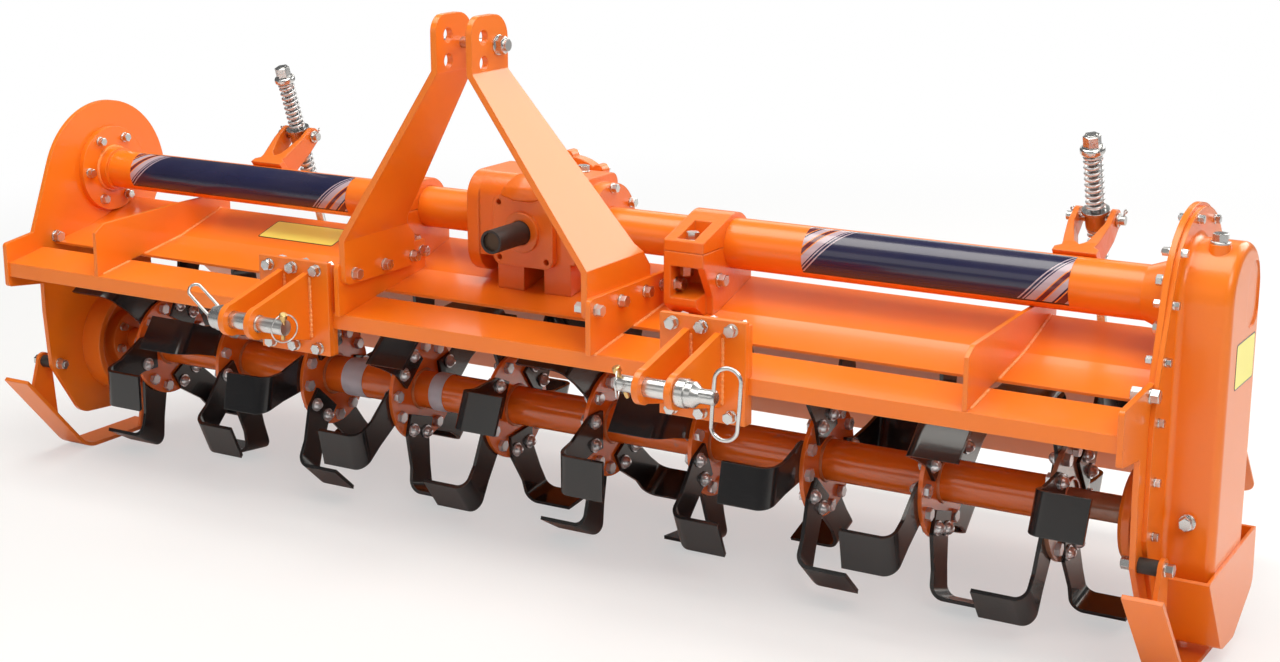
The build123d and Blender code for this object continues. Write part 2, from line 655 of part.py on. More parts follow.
tine_v = (tine_tip_r ** 2 - tine_sweep ** 2) ** 0.5
half_root = tine_root_w / 2
neck_low, neck_rear, neck_front = tine_neck
tine_side = Polygon((-half_root, tine_root_low), (half_root, tine_root_low),
                    (half_root, neck_low), (4, neck_front),
                    (tine_tip_w - tine_sweep, tine_v), (-tine_sweep, tine_v),
                    (-half_root - 18, neck_rear), (-half_root, neck_low), align=None)


def tine_blank(side):
    """An L-shaped tine at the top of its turn, with its root against x = 0."""
    low, inside = tine_v - tine_t, tine_t
    section = Polygon(*[(side * x, v) for x, v in
                        [(0, 0), (inside, 0), (inside, low), (tine_reach, low),
                         (tine_reach, tine_v), (0, tine_v)]], align=None)
    for x, v, r in ((0, tine_v, tine_bend_r), (inside, low, tine_bend_r - tine_t)):
        corner = [p for p in section.vertices() if hypot(p.X - side * x, p.Y - v) < 0.01]
        section = fillet(corner, r)
    bent = extrude(Plane.XZ * section, amount=150, both=True)
    blade = extrude(Plane.YZ * tine_side, amount=200, both=True)
    return bent & blade


blanks = {1: tine_blank(1), -1: tine_blank(-1)}
tines = {1: [], -1: []}
for i, x in enumerate(flanges_x):
    for side in (1, -1):
        for k in range(tines_per_side):
            turn = helix_start + i * helix_step + k * 360 / tines_per_side + (60 if side < 0 else 0)
            place = Pos(x + side * flange_t / 2, 0, rotor_z) * Rot(turn, 0, 0)
            tines[side].append(place * blanks[side])

# ---- trailing board ----------------------------------------------------------------------------
board_start = from_hinge(16, 0)
board_fold = from_hinge(board_len, 0)
lip = radians(lip_angle)
board_end = (board_fold[0] + lip_len * cos(lip), board_fold[1] - lip_len * sin(lip))
trailing_board = folded([board_start, board_fold, board_end], board_t, board_x)
lip_corners = [e for e in trailing_board.edges()
               if e.length < board_t + 0.1 and e.center().Z < board_end[1] + board_t]
trailing_board = fillet(lip_corners, lip_corner)
for x in knuckles[1::2]:
    trailing_board += knuckle(x)
    tab = folded([from_hinge(10, 0), from_hinge(22, 0)], board_t, (x, x + knuckle_w))
    trailing_board += tab
eye_r = 16
board_lug_t = 8
board_lug_half = 14
for x in rod_x:
    for x0 in (x - board_lug_half - board_lug_t, x + board_lug_half):
        lug = side_plate([from_hinge(eye_along - 30, 0), from_hinge(eye_along + 30, 0),
                          from_hinge(eye_along + 14, 26), from_hinge(eye_along - 14, 26)], x0, board_lug_t)
        lug += round_x(x0, x0 + board_lug_t, *rod_eye, eye_r)
        trailing_board += lug - round_x(x0 - 1, x0 + board_lug_t + 1, *rod_eye, eye_pin_r)

# ---- spring rods -------------------------------------------------------------------------------
lean = degrees(atan2(rod_eye[0] - trunnion[0], trunnion[1] - rod_eye[1]))
rod_span = hypot(rod_eye[0] - trunnion[0], trunnion[1] - rod_eye[1])


def along_rod(x):
    """Frame at the trunnion's middle, with its Z up along the rod."""
    return Pos(x, *trunnion) * Rot(lean, 0, 0)


def turned(r, z0, z1, bore=0):
    body = Cylinder(r, z1 - z0, align=(Align.CENTER, Align.CENTER, Align.MIN))
    if bore:
        body -= Cylinder(bore, 3 * (z1 - z0))
    return Pos(0, 0, z0) * body


half_block = trunnion_len / 2
spring_top = rod_above - rod_tip
collar_r = 21
collar_t = 14
nut_r = 13
pin_half = half_fork + horn_t + 14
trunnions, rods, upper_springs, lower_springs, eye_pins = [], [], [], [], []
for x in rod_x:
    core = Cylinder(trunnion_r, trunnion_len) + turned(trunnion_rim_r, half_block - 5, half_block)
    core += Rot(0, 90, 0) * Cylinder(trunnion_pin_r, 2 * pin_half)
    trunnions.append(along_rod(x) * (core - Cylinder(rod_r + SEAT, FAR)))
    collar = turned(collar_r, spring_top, spring_top + collar_t)
    collar = fillet(collar.edges().filter_by(GeomType.CIRCLE), 5)
    rod = turned(rod_r, -rod_span + eye_r - 2, rod_above) + collar
    rod += turned(nut_r, spring_top + collar_t, rod_above - 2)
    rod += turned(spring_r + 2, -half_block - lower_spring_len - 4, -half_block - lower_spring_len)
    eye = Pos(0, 0, -rod_span) * Rot(0, 90, 0) * (Cylinder(eye_r, 20) - Cylinder(eye_pin_r + eye_play, FAR))
    rods.append(along_rod(x) * (rod + eye))
    coil = turned(spring_r, half_block + 0.2, spring_top, rod_r + 2)
    upper_springs.append(along_rod(x) * coil)
    coil = turned(spring_r, -half_block - lower_spring_len, -half_block - 0.2, rod_r + 2)
    lower_springs.append(along_rod(x) * coil)
    pin_end = board_lug_half + board_lug_t + 6
    eye_pins.append(round_x(x - pin_end, x + pin_end, *rod_eye, eye_pin_r))

# ---- export ------------------------------------------------------------------------------------
nodes = {
    "left_side_plate": left_side_plate, "gear_plate": gear_plate, "front_beam": front_beam,
    "hood": hood, "hinge_rod": hinge_rod, "hood_ribs": hood_ribs,
    "left_tube": left_tube, "right_tube": right_tube,
    "left_tube_flange": left_tube_flange, "right_tube_flange": right_tube_flange,
    "clamp_feet": clamp_feet, "clamp_caps": clamp_caps,
    "gearbox_housing": housing, "gearbox_front_cover": front_cover, "gearbox_rear_cover": rear_cover,
    "gear_case": gear_case, "case_guard": case_guard,
    "left_hub": left_hub, "right_hub": right_hub,
    "mast_left_leg": mast_left_leg, "mast_right_leg": mast_right_leg, "mast_tie": mast_tie,
    "mast_feet": mast_feet,
    "hitch_brackets": hitch_brackets, "bracket_backs": bracket_backs, "hitch_pins": hitch_pins,
    "left_skid": left_skid, "right_skid": right_skid, "skid_spacers": skid_spacers,
    "left_fork": spring_forks[0], "right_fork": spring_forks[1],
    "pto_shaft": pto_shaft, "pto_cap": pto_cap,
    "rotor_tube": rotor_tube, "right_hand_tines": tines[1], "left_hand_tines": tines[-1],
    "trailing_board": trailing_board, "eye_pins": eye_pins,
    "left_trunnion": trunnions[0], "right_trunnion": trunnions[1],
    "left_rod": rods[0], "right_rod": rods[1],
    "left_upper_spring": upper_springs[0], "left_lower_spring": lower_springs[0],
    "right_upper_spring": upper_springs[1], "right_lower_spring": lower_springs[1],
}
os.makedirs("parts", exist_ok=True)
for name, shape in nodes.items():
    solids = []
    for piece in (shape if isinstance(shape, list) else [shape]):
        solids += piece.solids()
    export_step(Compound(children=solids) if len(solids) > 1 else solids[0], f"parts/{name}.step")
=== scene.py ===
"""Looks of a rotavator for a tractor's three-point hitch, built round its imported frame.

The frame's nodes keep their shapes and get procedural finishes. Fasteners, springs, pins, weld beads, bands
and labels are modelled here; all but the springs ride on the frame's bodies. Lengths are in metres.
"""
import json
import logging
import math
from collections.abc import Callable, Iterable
from dataclasses import dataclass
from enum import Enum

import bmesh
import bpy
from mathutils import Matrix, Vector
from mathutils.bvhtree import BVHTree


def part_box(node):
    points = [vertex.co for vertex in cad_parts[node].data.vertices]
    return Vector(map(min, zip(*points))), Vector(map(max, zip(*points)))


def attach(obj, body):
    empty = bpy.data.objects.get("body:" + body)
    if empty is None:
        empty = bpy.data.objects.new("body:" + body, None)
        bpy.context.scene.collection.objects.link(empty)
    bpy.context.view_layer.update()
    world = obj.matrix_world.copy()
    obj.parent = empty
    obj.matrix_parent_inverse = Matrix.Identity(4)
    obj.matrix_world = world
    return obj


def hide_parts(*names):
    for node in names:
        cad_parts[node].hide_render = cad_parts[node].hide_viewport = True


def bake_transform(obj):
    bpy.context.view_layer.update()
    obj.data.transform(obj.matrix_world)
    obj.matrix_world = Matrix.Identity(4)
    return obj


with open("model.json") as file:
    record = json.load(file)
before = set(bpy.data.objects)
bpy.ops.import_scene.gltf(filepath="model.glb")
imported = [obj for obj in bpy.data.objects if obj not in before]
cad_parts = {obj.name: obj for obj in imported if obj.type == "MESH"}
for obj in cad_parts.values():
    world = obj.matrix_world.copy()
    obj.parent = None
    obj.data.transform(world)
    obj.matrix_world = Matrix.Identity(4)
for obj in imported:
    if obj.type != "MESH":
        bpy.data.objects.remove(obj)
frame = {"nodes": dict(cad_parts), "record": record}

LOG = logging.getLogger("rotavator")
Mesh = bpy.types.Mesh
Socket = bpy.types.NodeSocket
Spot = tuple[float, float]
Triple = tuple[float, float, float]
Edges = tuple[float, float, float, float]
Met = tuple[Vector, Vector]  # a point on a surface, and the direction that the surface faces there
FaceTest = Callable[[Vector, Vector], bool]

MACHINE_X = -0.042  # middle of the mast and the gearbox
TUBE_Z = 0.608  # axis of the cross tube
ROTOR_Z = 0.232  # axis of the rotor
CLEAR = 2.0  # outside the machine on every side
BAND_ANGLES = (-38.0, 85.0)  # how far the bands reach round the tube, in degrees above its front
ALONG_X = (0.0, math.pi / 2, 0.0)
ALONG_Y = (math.pi / 2, 0.0, 0.0)
FLAT = 0.9  # least part of a normal along an axis that counts as facing along it
TOUCHING = 1e-5  # points nearer than this are one
ROUND = 60.0  # edges up to this angle are smooth on round wire, in degrees


class Body(str, Enum):
    """Bodies of the frame that pieces ride on."""

    FRAME = "frame"
    ROTOR = "rotor"
    LEFT_TRUNNION = "left_trunnion_body"
    RIGHT_TRUNNION = "right_trunnion_body"
    LEFT_ROD = "left_rod_body"
    RIGHT_ROD = "right_rod_body"


class Slot(str, Enum):
    """Material slots of the record."""

    PAINT = "orange_paint"
    TINES = "tine_steel"
    ZINC = "zinc_steel"
    BLACK = "black_cap"


# ---- shader groups ----------------------------------------------------------------------------------
class Graph:
    """A node tree with short calls for adding and joining nodes."""

    def __init__(self, tree: bpy.types.NodeTree) -> None:
        """Keep the tree that nodes are added to."""
        self.tree = tree

    def fill(self, socket: Socket, value: object) -> None:
        """Give an input its value.

        Args:
            socket: the input.
            value: a number, a colour or the output that it takes its value from.
        """
        if isinstance(value, Socket):
            self.tree.links.new(value, socket)
        elif isinstance(value, tuple):
            socket.default_value = (*value, 1.0)
        else:
            socket.default_value = value

    def add(self, kind: str, **settings: object) -> bpy.types.Node:
        """Add a node.

        Args:
            kind: the node's type, without its ShaderNode prefix.
            settings: attributes of the node, or values of its inputs where a name starts with in_.

        Returns:
            The new node.
        """
        node = self.tree.nodes.new(kind if kind.startswith("Node") else "ShaderNode" + kind)
        for name, value in settings.items():
            if name.startswith("in_"):
                self.fill(node.inputs[name[3:].replace("_", " ")], value)
            else:
                setattr(node, name, value)
        return node

    def math(self, operation: str, first: object, second: object = 0.0,
             clamp: bool = False) -> Socket:
        """Add a Math node.

        Args:
            operation: the node's operation.
            first: a socket or a number.
            second: a socket or a number.
            clamp: whether the result stays between 0 and 1.

        Returns:
            The node's output.
        """
        node = self.add("Math", operation=operation, use_clamp=clamp)
        self.fill(node.inputs[0], first)
        self.fill(node.inputs[1], second)
        return node.outputs[0]

    def above(self, value: Socket, floor: float, gain: float) -> Socket:
        """Keep what is above a floor, times a gain and at most 1."""
        return self.math("MULTIPLY", self.math("SUBTRACT", value, floor), gain, clamp=True)

    def mix(self, factor: object, first: object, second: object) -> Socket:
        """Mix two colours.

        Args:
            factor: a socket or a number.
            first: a socket or a colour.
            second: a socket or a colour.

        Returns:
            The mixed colour.
        """
        node = self.add("Mix", data_type="RGBA")
        for index, value in ((0, factor), (6, first), (7, second)):
            self.fill(node.inputs[index], value)
        return node.outputs[2]

    def split(self, vector: Socket) -> bpy.types.NodeOutputs:
        """Split a vector into its X, Y and Z."""
        return self.add("SeparateXYZ", in_Vector=vector).outputs

    def coordinates(self) -> Socket:
        """Give the Object coordinates."""
        return self.add("TexCoord").outputs["Object"]

    def noise(self, scale: object, detail: float, roughness: float = 0.5) -> Socket:
        """Add a Noise Texture on Object coordinates."""
        settings = {"in_Scale": scale, "in_Detail": detail, "in_Roughness": roughness}
        return self.add("TexNoise", in_Vector=self.coordinates(), **settings).outputs["Fac"]


def new_group(name: str, inputs: dict[str, float], outputs: dict[str, str]) -> tuple[Graph, object, object]:
    """Make an empty shader node group.

    Args:
        name: the group's name.
        inputs: names and first values of its number inputs.
        outputs: names and socket kinds of its outputs.

    Returns:
        The group's graph, the sockets that give its inputs and those that take its outputs.
    """
    tree = bpy.data.node_groups.new(name, "ShaderNodeTree")
    for label, value in inputs.items():
        socket = tree.interface.new_socket(label, in_out="INPUT", socket_type="NodeSocketFloat")
        socket.default_value = value
    for label, kind in outputs.items():
        tree.interface.new_socket(label, in_out="OUTPUT", socket_type="NodeSocket" + kind)
    graph = Graph(tree)
    return graph, graph.add("NodeGroupInput").outputs, graph.add("NodeGroupOutput").inputs


def edge_group() -> bpy.types.NodeTree:
    """Build the group that rounds a piece's edges in its shading and marks where they are.

    Returns:
        The group, with input Radius and outputs Normal and Edge.
    """
    gain = 4.0
    graph, given, wanted = new_group("rounded_edge", {"Radius": 0.002}, {"Normal": "Vector", "Edge": "Float"})
    rounded = graph.add("Bevel", samples=4, in_Radius=given["Radius"]).outputs["Normal"]
    turn = graph.add("VectorMath", operation="DOT_PRODUCT", in_Vector=rounded)
    graph.fill(turn.inputs[1], graph.add("NewGeometry").outputs["Normal"])
    edge = graph.math("MULTIPLY", graph.math("SUBTRACT", 1.0, turn.outputs["Value"]), gain, clamp=True)
    graph.fill(wanted["Normal"], rounded)
    graph.fill(wanted["Edge"], edge)
    return graph.tree


def mottle_group() -> bpy.types.NodeTree:
    """Build the group that gives soft cloudy patches over fine grain.

    Returns:
        The group, with inputs Patch and Grain and outputs Cloud and Speck.
    """
    results = {"Cloud": "Float", "Speck": "Float"}
    graph, given, wanted = new_group("mottle", {"Patch": 3.0, "Grain": 120.0}, results)
    for source, target, detail in (("Patch", "Cloud", 3.0), ("Grain", "Speck", 2.0)):
        graph.fill(wanted[target], graph.noise(given[source], detail))
    return graph.tree


def dust_group() -> bpy.types.NodeTree:
    """Build the group that marks where dust settles: in patches, on what looks up, more towards the ground.

    Returns:
        The group, with inputs Amount and Height and output Dust.
    """
    wall_share, facing_share, low_share = 0.12, 0.6, 0.6
    graph, given, wanted = new_group("settled_dust", {"Amount": 0.3, "Height": 0.5}, {"Dust": "Float"})
    facing = graph.split(graph.add("NewGeometry").outputs["Normal"])["Z"]
    up = graph.math("MULTIPLY", graph.math("MAXIMUM", facing, wall_share), facing_share)
    rise = graph.math("DIVIDE", graph.split(graph.coordinates())["Z"], given["Height"])
    low = graph.math("MULTIPLY", graph.math("SUBTRACT", 1.0, rise, clamp=True), low_share)
    patch = graph.above(graph.noise(9.0, 6.0, 0.7), 0.4, 3.0)
    dust = graph.math("MULTIPLY", patch, graph.math("ADD", up, low))
    graph.fill(wanted["Dust"], graph.math("MULTIPLY", dust, given["Amount"], clamp=True))
    return graph.tree


GROUP_BUILDERS = {"rounded_edge": edge_group, "mottle": mottle_group, "settled_dust": dust_group}
GROUPS: dict[str, bpy.types.NodeTree] = {}


def group_node(graph: Graph, name: str, **values: float) -> bpy.types.NodeOutputs:
    """Place one of the shared groups in a material.

    Args:
        graph: the material's graph.
        name: the group's name.
        values: numbers for its inputs.

    Returns:
        The group node's outputs.
    """
    if name not in GROUPS:
        GROUPS[name] = GROUP_BUILDERS[name]()
    node = graph.add("Group", node_tree=GROUPS[name])
    for label, value in values.items():
        graph.fill(node.inputs[label], value)
    return node.outputs


# ---- finishes ---------------------------------------------------------------------------------------
@dataclass(frozen=True)
class Finish:
    """A surface finish with patchy colour, rounded edges painted lighter as a painted highlight that is
    partly edge wear, grain and settled dust.
    """

    name: str
    colour: Triple
    deep: Triple
    # paler colour that the edges take: a painted highlight, partly edge wear
    edge_highlight_and_wear: Triple
    roughness: float = 0.3
    rough_spread: float = 0.15
    metallic: float = 0.0
    specular: float = 0.5
    coat: float = 0.0
    coat_roughness: float = 0.08
    edge_radius: float = 0.0025
    # how far the edges take that painted highlight, partly edge wear
    edge_highlight_and_wear_share: float = 0.25
    patch: float = 3.0
    grain: float = 260.0
    bump: float = 0.04
    bump_depth: float = 0.0004
    dust: float = 0.15
    dust_height: float = 0.6
    dust_colour: Triple = (0.42, 0.33, 0.25)
    dust_roughness: float = 0.5

    def build(self) -> bpy.types.Material:
        """Make the finish's material, once.

        Returns:
            The material.
        """
        if self.name in bpy.data.materials:
            return bpy.data.materials[self.name]
        material = bpy.data.materials.new(self.name)
        material.use_nodes = True
        graph = Graph(material.node_tree)
        shader = material.node_tree.nodes["Principled BSDF"].inputs
        edge = group_node(graph, "rounded_edge", Radius=self.edge_radius)
        mottle = group_node(graph, "mottle", Patch=self.patch, Grain=self.grain)
        dust = group_node(graph, "settled_dust", Amount=self.dust, Height=self.dust_height)["Dust"]
        # edges painted lighter: a painted highlight, partly edge wear
        highlight_and_rubbed_edge = graph.math("MULTIPLY", edge["Edge"], self.edge_highlight_and_wear_share)
        tone = graph.mix(highlight_and_rubbed_edge, graph.mix(mottle["Cloud"], self.deep, self.colour), self.edge_highlight_and_wear)
        tone = graph.mix(dust, self.pattern(graph, tone), self.dust_colour)
        spread = graph.math("MULTIPLY", graph.math("SUBTRACT", mottle["Cloud"], 0.5), self.rough_spread)
        rough = graph.math("ADD", spread, self.roughness)
        rough = graph.math("ADD", rough, graph.math("MULTIPLY", dust, self.dust_roughness), clamp=True)
        bump = graph.add("Bump", in_Strength=self.bump, in_Distance=self.bump_depth,
                         in_Height=mottle["Speck"], in_Normal=edge["Normal"])
        for label, value in (("Base Color", tone), ("Roughness", rough), ("Normal", bump.outputs["Normal"]),
                             ("Metallic", self.metallic), ("Specular IOR Level", self.specular),
                             ("Coat Weight", self.coat), ("Coat Roughness", self.coat_roughness)):
            graph.fill(shader[label], value)
        return material

    def pattern(self, graph: Graph, tone: Socket) -> Socket:
        """Leave the colour as it is, where a finish has no pattern."""
        return tone


@dataclass(frozen=True)
class NavyBand(Finish):
    """Navy print that wraps round the cross tube, with slanted stripes at both ends and a dark outline."""

    colour: Triple = (0.013, 0.014, 0.060)
    deep: Triple = (0.009, 0.010, 0.040)
    edge_highlight_and_wear: Triple = (0.05, 0.05, 0.12)
    roughness: float = 0.22
    rough_spread: float = 0.08
    coat: float = 0.5
    edge_radius: float = 0.0002
    patch: float = 6.0
    grain: float = 700.0
    bump: float = 0.02
    dust: float = 0.08
    start: float = 0.0
    end: float = 1.0
    lean: float = 0.092
    outline: float = 0.03
    outline_colour: Triple = (0.004, 0.004, 0.010)
    navy: Triple = (0.012, 0.013, 0.055)
    silver: Triple = (0.46, 0.36, 0.41)
    amber: Triple = (0.78, 0.24, 0.05)
    maroon: Triple = (0.12, 0.016, 0.024)

    def stripes(self) -> tuple[tuple[float, Triple], ...]:
        """Give each stripe's distance from the plain ground and its colour."""
        return ((0.000, self.silver), (0.003, self.navy), (0.008, self.silver), (0.011, self.navy),
                (0.014, self.silver), (0.030, self.amber), (0.033, self.maroon), (0.043, self.amber),
                (0.046, self.silver), (0.060, self.navy), (0.064, self.amber), (0.067, self.maroon),
                (0.082, self.silver))

    def pattern(self, graph: Graph, tone: Socket) -> Socket:
        """Print slanted stripes over the corners of both ends and an outline round the navy ground.

        Args:
            graph: the material's graph.
            tone: the ground's colour.

        Returns:
            The printed colour.
        """
        place = graph.split(graph.coordinates())
        rise = graph.math("SUBTRACT", place["Z"], TUBE_Z)
        angle = graph.math("ARCTAN2", rise, graph.math("MULTIPLY", place["Y"], -1.0))
        low, high = (math.radians(edge) for edge in BAND_ANGLES)
        share = graph.math("DIVIDE", graph.math("SUBTRACT", angle, low), high - low)
        along = graph.math("SUBTRACT", place["X"], graph.math("MULTIPLY", share, self.lean))
        past_start = graph.math("SUBTRACT", self.start, along)
        past_end = graph.math("SUBTRACT", along, self.end - self.lean)
        past = graph.math("DIVIDE", graph.math("MAXIMUM", past_start, past_end), self.lean, clamp=True)
        ramp = graph.add("ValToRGB", in_Fac=past)
        ramp.color_ramp.interpolation = "CONSTANT"
        stops = ramp.color_ramp.elements
        stops.remove(stops[1])
        for index, (distance, colour) in enumerate(self.stripes()):
            stop = stops[0] if index == 0 else stops.new(distance / self.lean)
            stop.color = (*colour, 1.0)
        printed = graph.mix(graph.math("GREATER_THAN", past, 0.0), tone, ramp.outputs[0])
        middle = graph.math("ABSOLUTE", graph.math("SUBTRACT", share, 0.5))
        rim = graph.math("GREATER_THAN", middle, 0.5 - self.outline)
        return graph.mix(rim, printed, self.outline_colour)


@dataclass(frozen=True)
class RotorEnamel(Finish):
    """Orange enamel rubbed through to rust on the rotor's last flange and in scuffs elsewhere."""

    rust_from: float = 0.955
    rust: Triple = (0.145, 0.052, 0.022)
    bare: Triple = (0.36, 0.24, 0.17)
    end_share: float = 0.85
    scuff_share: float = 0.7

    def pattern(self, graph: Graph, tone: Socket) -> Socket:
        """Wear the enamel off the end flange and in small patches.

        Args:
            graph: the material's graph.
            tone: the enamel's colour.

        Returns:
            The colour with its rust and scuffs.
        """
        noise = graph.noise(22.0, 6.0, 0.65)
        at_end = graph.math("GREATER_THAN", graph.split(graph.coordinates())["X"], self.rust_from)
        worn_end = graph.math("MULTIPLY", at_end, self.end_share)
        scuff = graph.math("MULTIPLY", graph.above(noise, 0.66, 9.0), self.scuff_share)
        return graph.mix(graph.math("MAXIMUM", worn_end, scuff), tone, graph.mix(noise, self.rust, self.bare))


ORANGE = Finish("orange_enamel", (0.90, 0.215, 0.008), (0.82, 0.160, 0.006), (0.98, 0.40, 0.12),
                roughness=0.30, rough_spread=0.12, coat=0.22, edge_highlight_and_wear_share=0.3, dust=0.07)
ORANGE_CAST = Finish("orange_enamel_on_castings", (0.88, 0.200, 0.008), (0.74, 0.135, 0.006),
                     (0.98, 0.42, 0.14), roughness=0.34, coat=0.3, edge_radius=0.005, grain=90.0, bump=0.4,
                     bump_depth=0.0014, dust=0.10)
# deeper orange than the frame's: the rotor's enamel, darkened partly as painted shade from the hood over it
ROTOR_ORANGE = RotorEnamel("orange_enamel_on_rotor", (0.86, 0.165, 0.010), (0.64, 0.100, 0.008),
                           (0.95, 0.42, 0.16), roughness=0.17, rough_spread=0.08, coat=0.6, dust=0.08,
                           dust_height=0.9)
WELD_ORANGE = Finish("orange_enamel_on_welds", (0.98, 0.42, 0.12), (0.90, 0.24, 0.04), (1.0, 0.62, 0.30),
                     roughness=0.28, coat=0.5, edge_radius=0.0006, patch=40.0, grain=900.0, dust=0.05)
WELD_ROTOR = Finish("enamel_on_rotor_welds", (0.72, 0.20, 0.05), (0.42, 0.10, 0.03), (0.85, 0.45, 0.25),
                    roughness=0.36, coat=0.3, edge_radius=0.0006, patch=40.0, grain=700.0, bump=0.3,
                    dust=0.3)
ZINC = Finish("bright_zinc", (0.78, 0.78, 0.77), (0.50, 0.51, 0.52), (0.96, 0.96, 0.94), roughness=0.27,
              rough_spread=0.25, metallic=1.0, edge_radius=0.0008, patch=18.0, grain=500.0, dust=0.10)
ZINC_SPRING = Finish("zinc_on_spring_wire", (0.86, 0.87, 0.88), (0.60, 0.61, 0.63), (0.96, 0.96, 0.95),
                     roughness=0.36, rough_spread=0.2, metallic=0.85, edge_radius=0.0003, patch=60.0,
                     grain=900.0, dust=0.15, dust_height=1.2)
BRASS_ZINC = Finish("yellow_zinc", (0.78, 0.56, 0.24), (0.52, 0.34, 0.14), (0.92, 0.78, 0.46),
                    roughness=0.32, rough_spread=0.2, metallic=1.0, edge_radius=0.0006, patch=50.0,
                    grain=700.0, dust=0.1)
DARK_BOLT = Finish("dark_plated_bolts", (0.84, 0.85, 0.88), (0.48, 0.49, 0.52), (0.95, 0.95, 0.95),
                   roughness=0.20, rough_spread=0.2, metallic=0.7, edge_radius=0.0006, edge_highlight_and_wear_share=0.6,
                   patch=30.0, grain=600.0, dust=0.10, dust_height=0.8)
PALE_BAND = Finish("pale_tube_bands", (0.60, 0.58, 0.66), (0.42, 0.38, 0.44), (0.80, 0.78, 0.82),
                   roughness=0.32, edge_radius=0.0003, patch=30.0, grain=500.0, dust=0.4, dust_height=0.8)
YELLOW_LABEL = Finish("yellow_label", (1.0, 0.92, 0.18), (0.98, 0.86, 0.13), (1.0, 0.95, 0.5),
                      roughness=0.36, coat=0.15, edge_radius=0.0002, patch=14.0, grain=700.0, bump=0.02,
                      dust=0.04, dust_height=1.5)
BLACK_PRINT = Finish("black_label_border", (0.016, 0.014, 0.014), (0.008, 0.008, 0.008), (0.08, 0.08, 0.08),
                     roughness=0.36, coat=0.3, edge_radius=0.0002, patch=20.0, grain=700.0, bump=0.02,
                     dust=0.1)
TINE_BLACK = Finish("black_tine_paint", (0.013, 0.013, 0.015), (0.006, 0.006, 0.007), (0.16, 0.155, 0.15),
                    roughness=0.22, rough_spread=0.15, specular=0.4, coat=0.35, edge_highlight_and_wear_share=0.3, patch=9.0,
                    grain=150.0, bump=0.2, bump_depth=0.0008, dust=0.02, dust_height=0.8)
BLACK_SLEEVE = Finish("black_sleeve", (0.030, 0.029, 0.029), (0.016, 0.016, 0.016), (0.10, 0.10, 0.10),
                      roughness=0.52, grain=300.0, bump=0.3, dust=0.25)
# dark brown greased steel, darkened further as painted shade so that the shaft's end looks like a dark hole
# in its cap
SHADED_SHAFT_STEEL = Finish("greased_shaft_steel", (0.11, 0.065, 0.038), (0.05, 0.028, 0.016), (0.40, 0.33, 0.26),
                     roughness=0.42, metallic=0.5, patch=25.0, dust=0.1)
CASTINGS = ("gearbox_housing", "gearbox_rear_cover", "gearbox_front_cover", "clamp_feet", "clamp_caps",
            "right_hub", "left_hub", "left_fork", "right_fork")
NODE_FINISHES: dict[str, Finish] = {"rotor_tube": ROTOR_ORANGE, "pto_shaft": SHADED_SHAFT_STEEL,
                                    **dict.fromkeys(CASTINGS, ORANGE_CAST)}
SLOT_FINISHES = {Slot.PAINT: ORANGE, Slot.TINES: TINE_BLACK, Slot.ZINC: ZINC, Slot.BLACK: BLACK_SLEEVE}


def dress_nodes() -> None:
    """Give each of the frame's nodes its finish."""
    slots = {entry["node"]: entry["material_slot"] for entry in frame["record"]["subparts"]}
    for name, node in frame["nodes"].items():
        finish = NODE_FINISHES.get(name, SLOT_FINISHES[Slot(slots[name])])
        for slot in node.material_slots:
            slot.material = finish.build()
        LOG.info("node %s: %s", name, finish.name)


# ---- modelling --------------------------------------------------------------------------------------
def linked(name: str, data: bpy.types.ID) -> bpy.types.Object:
    """Put data on a new object in the scene.

    Args:
        name: the object's name.
        data: a mesh, a lamp or a camera.

    Returns:
        The object.
    """
    thing = bpy.data.objects.new(name, data)
    bpy.context.collection.objects.link(thing)
    return thing


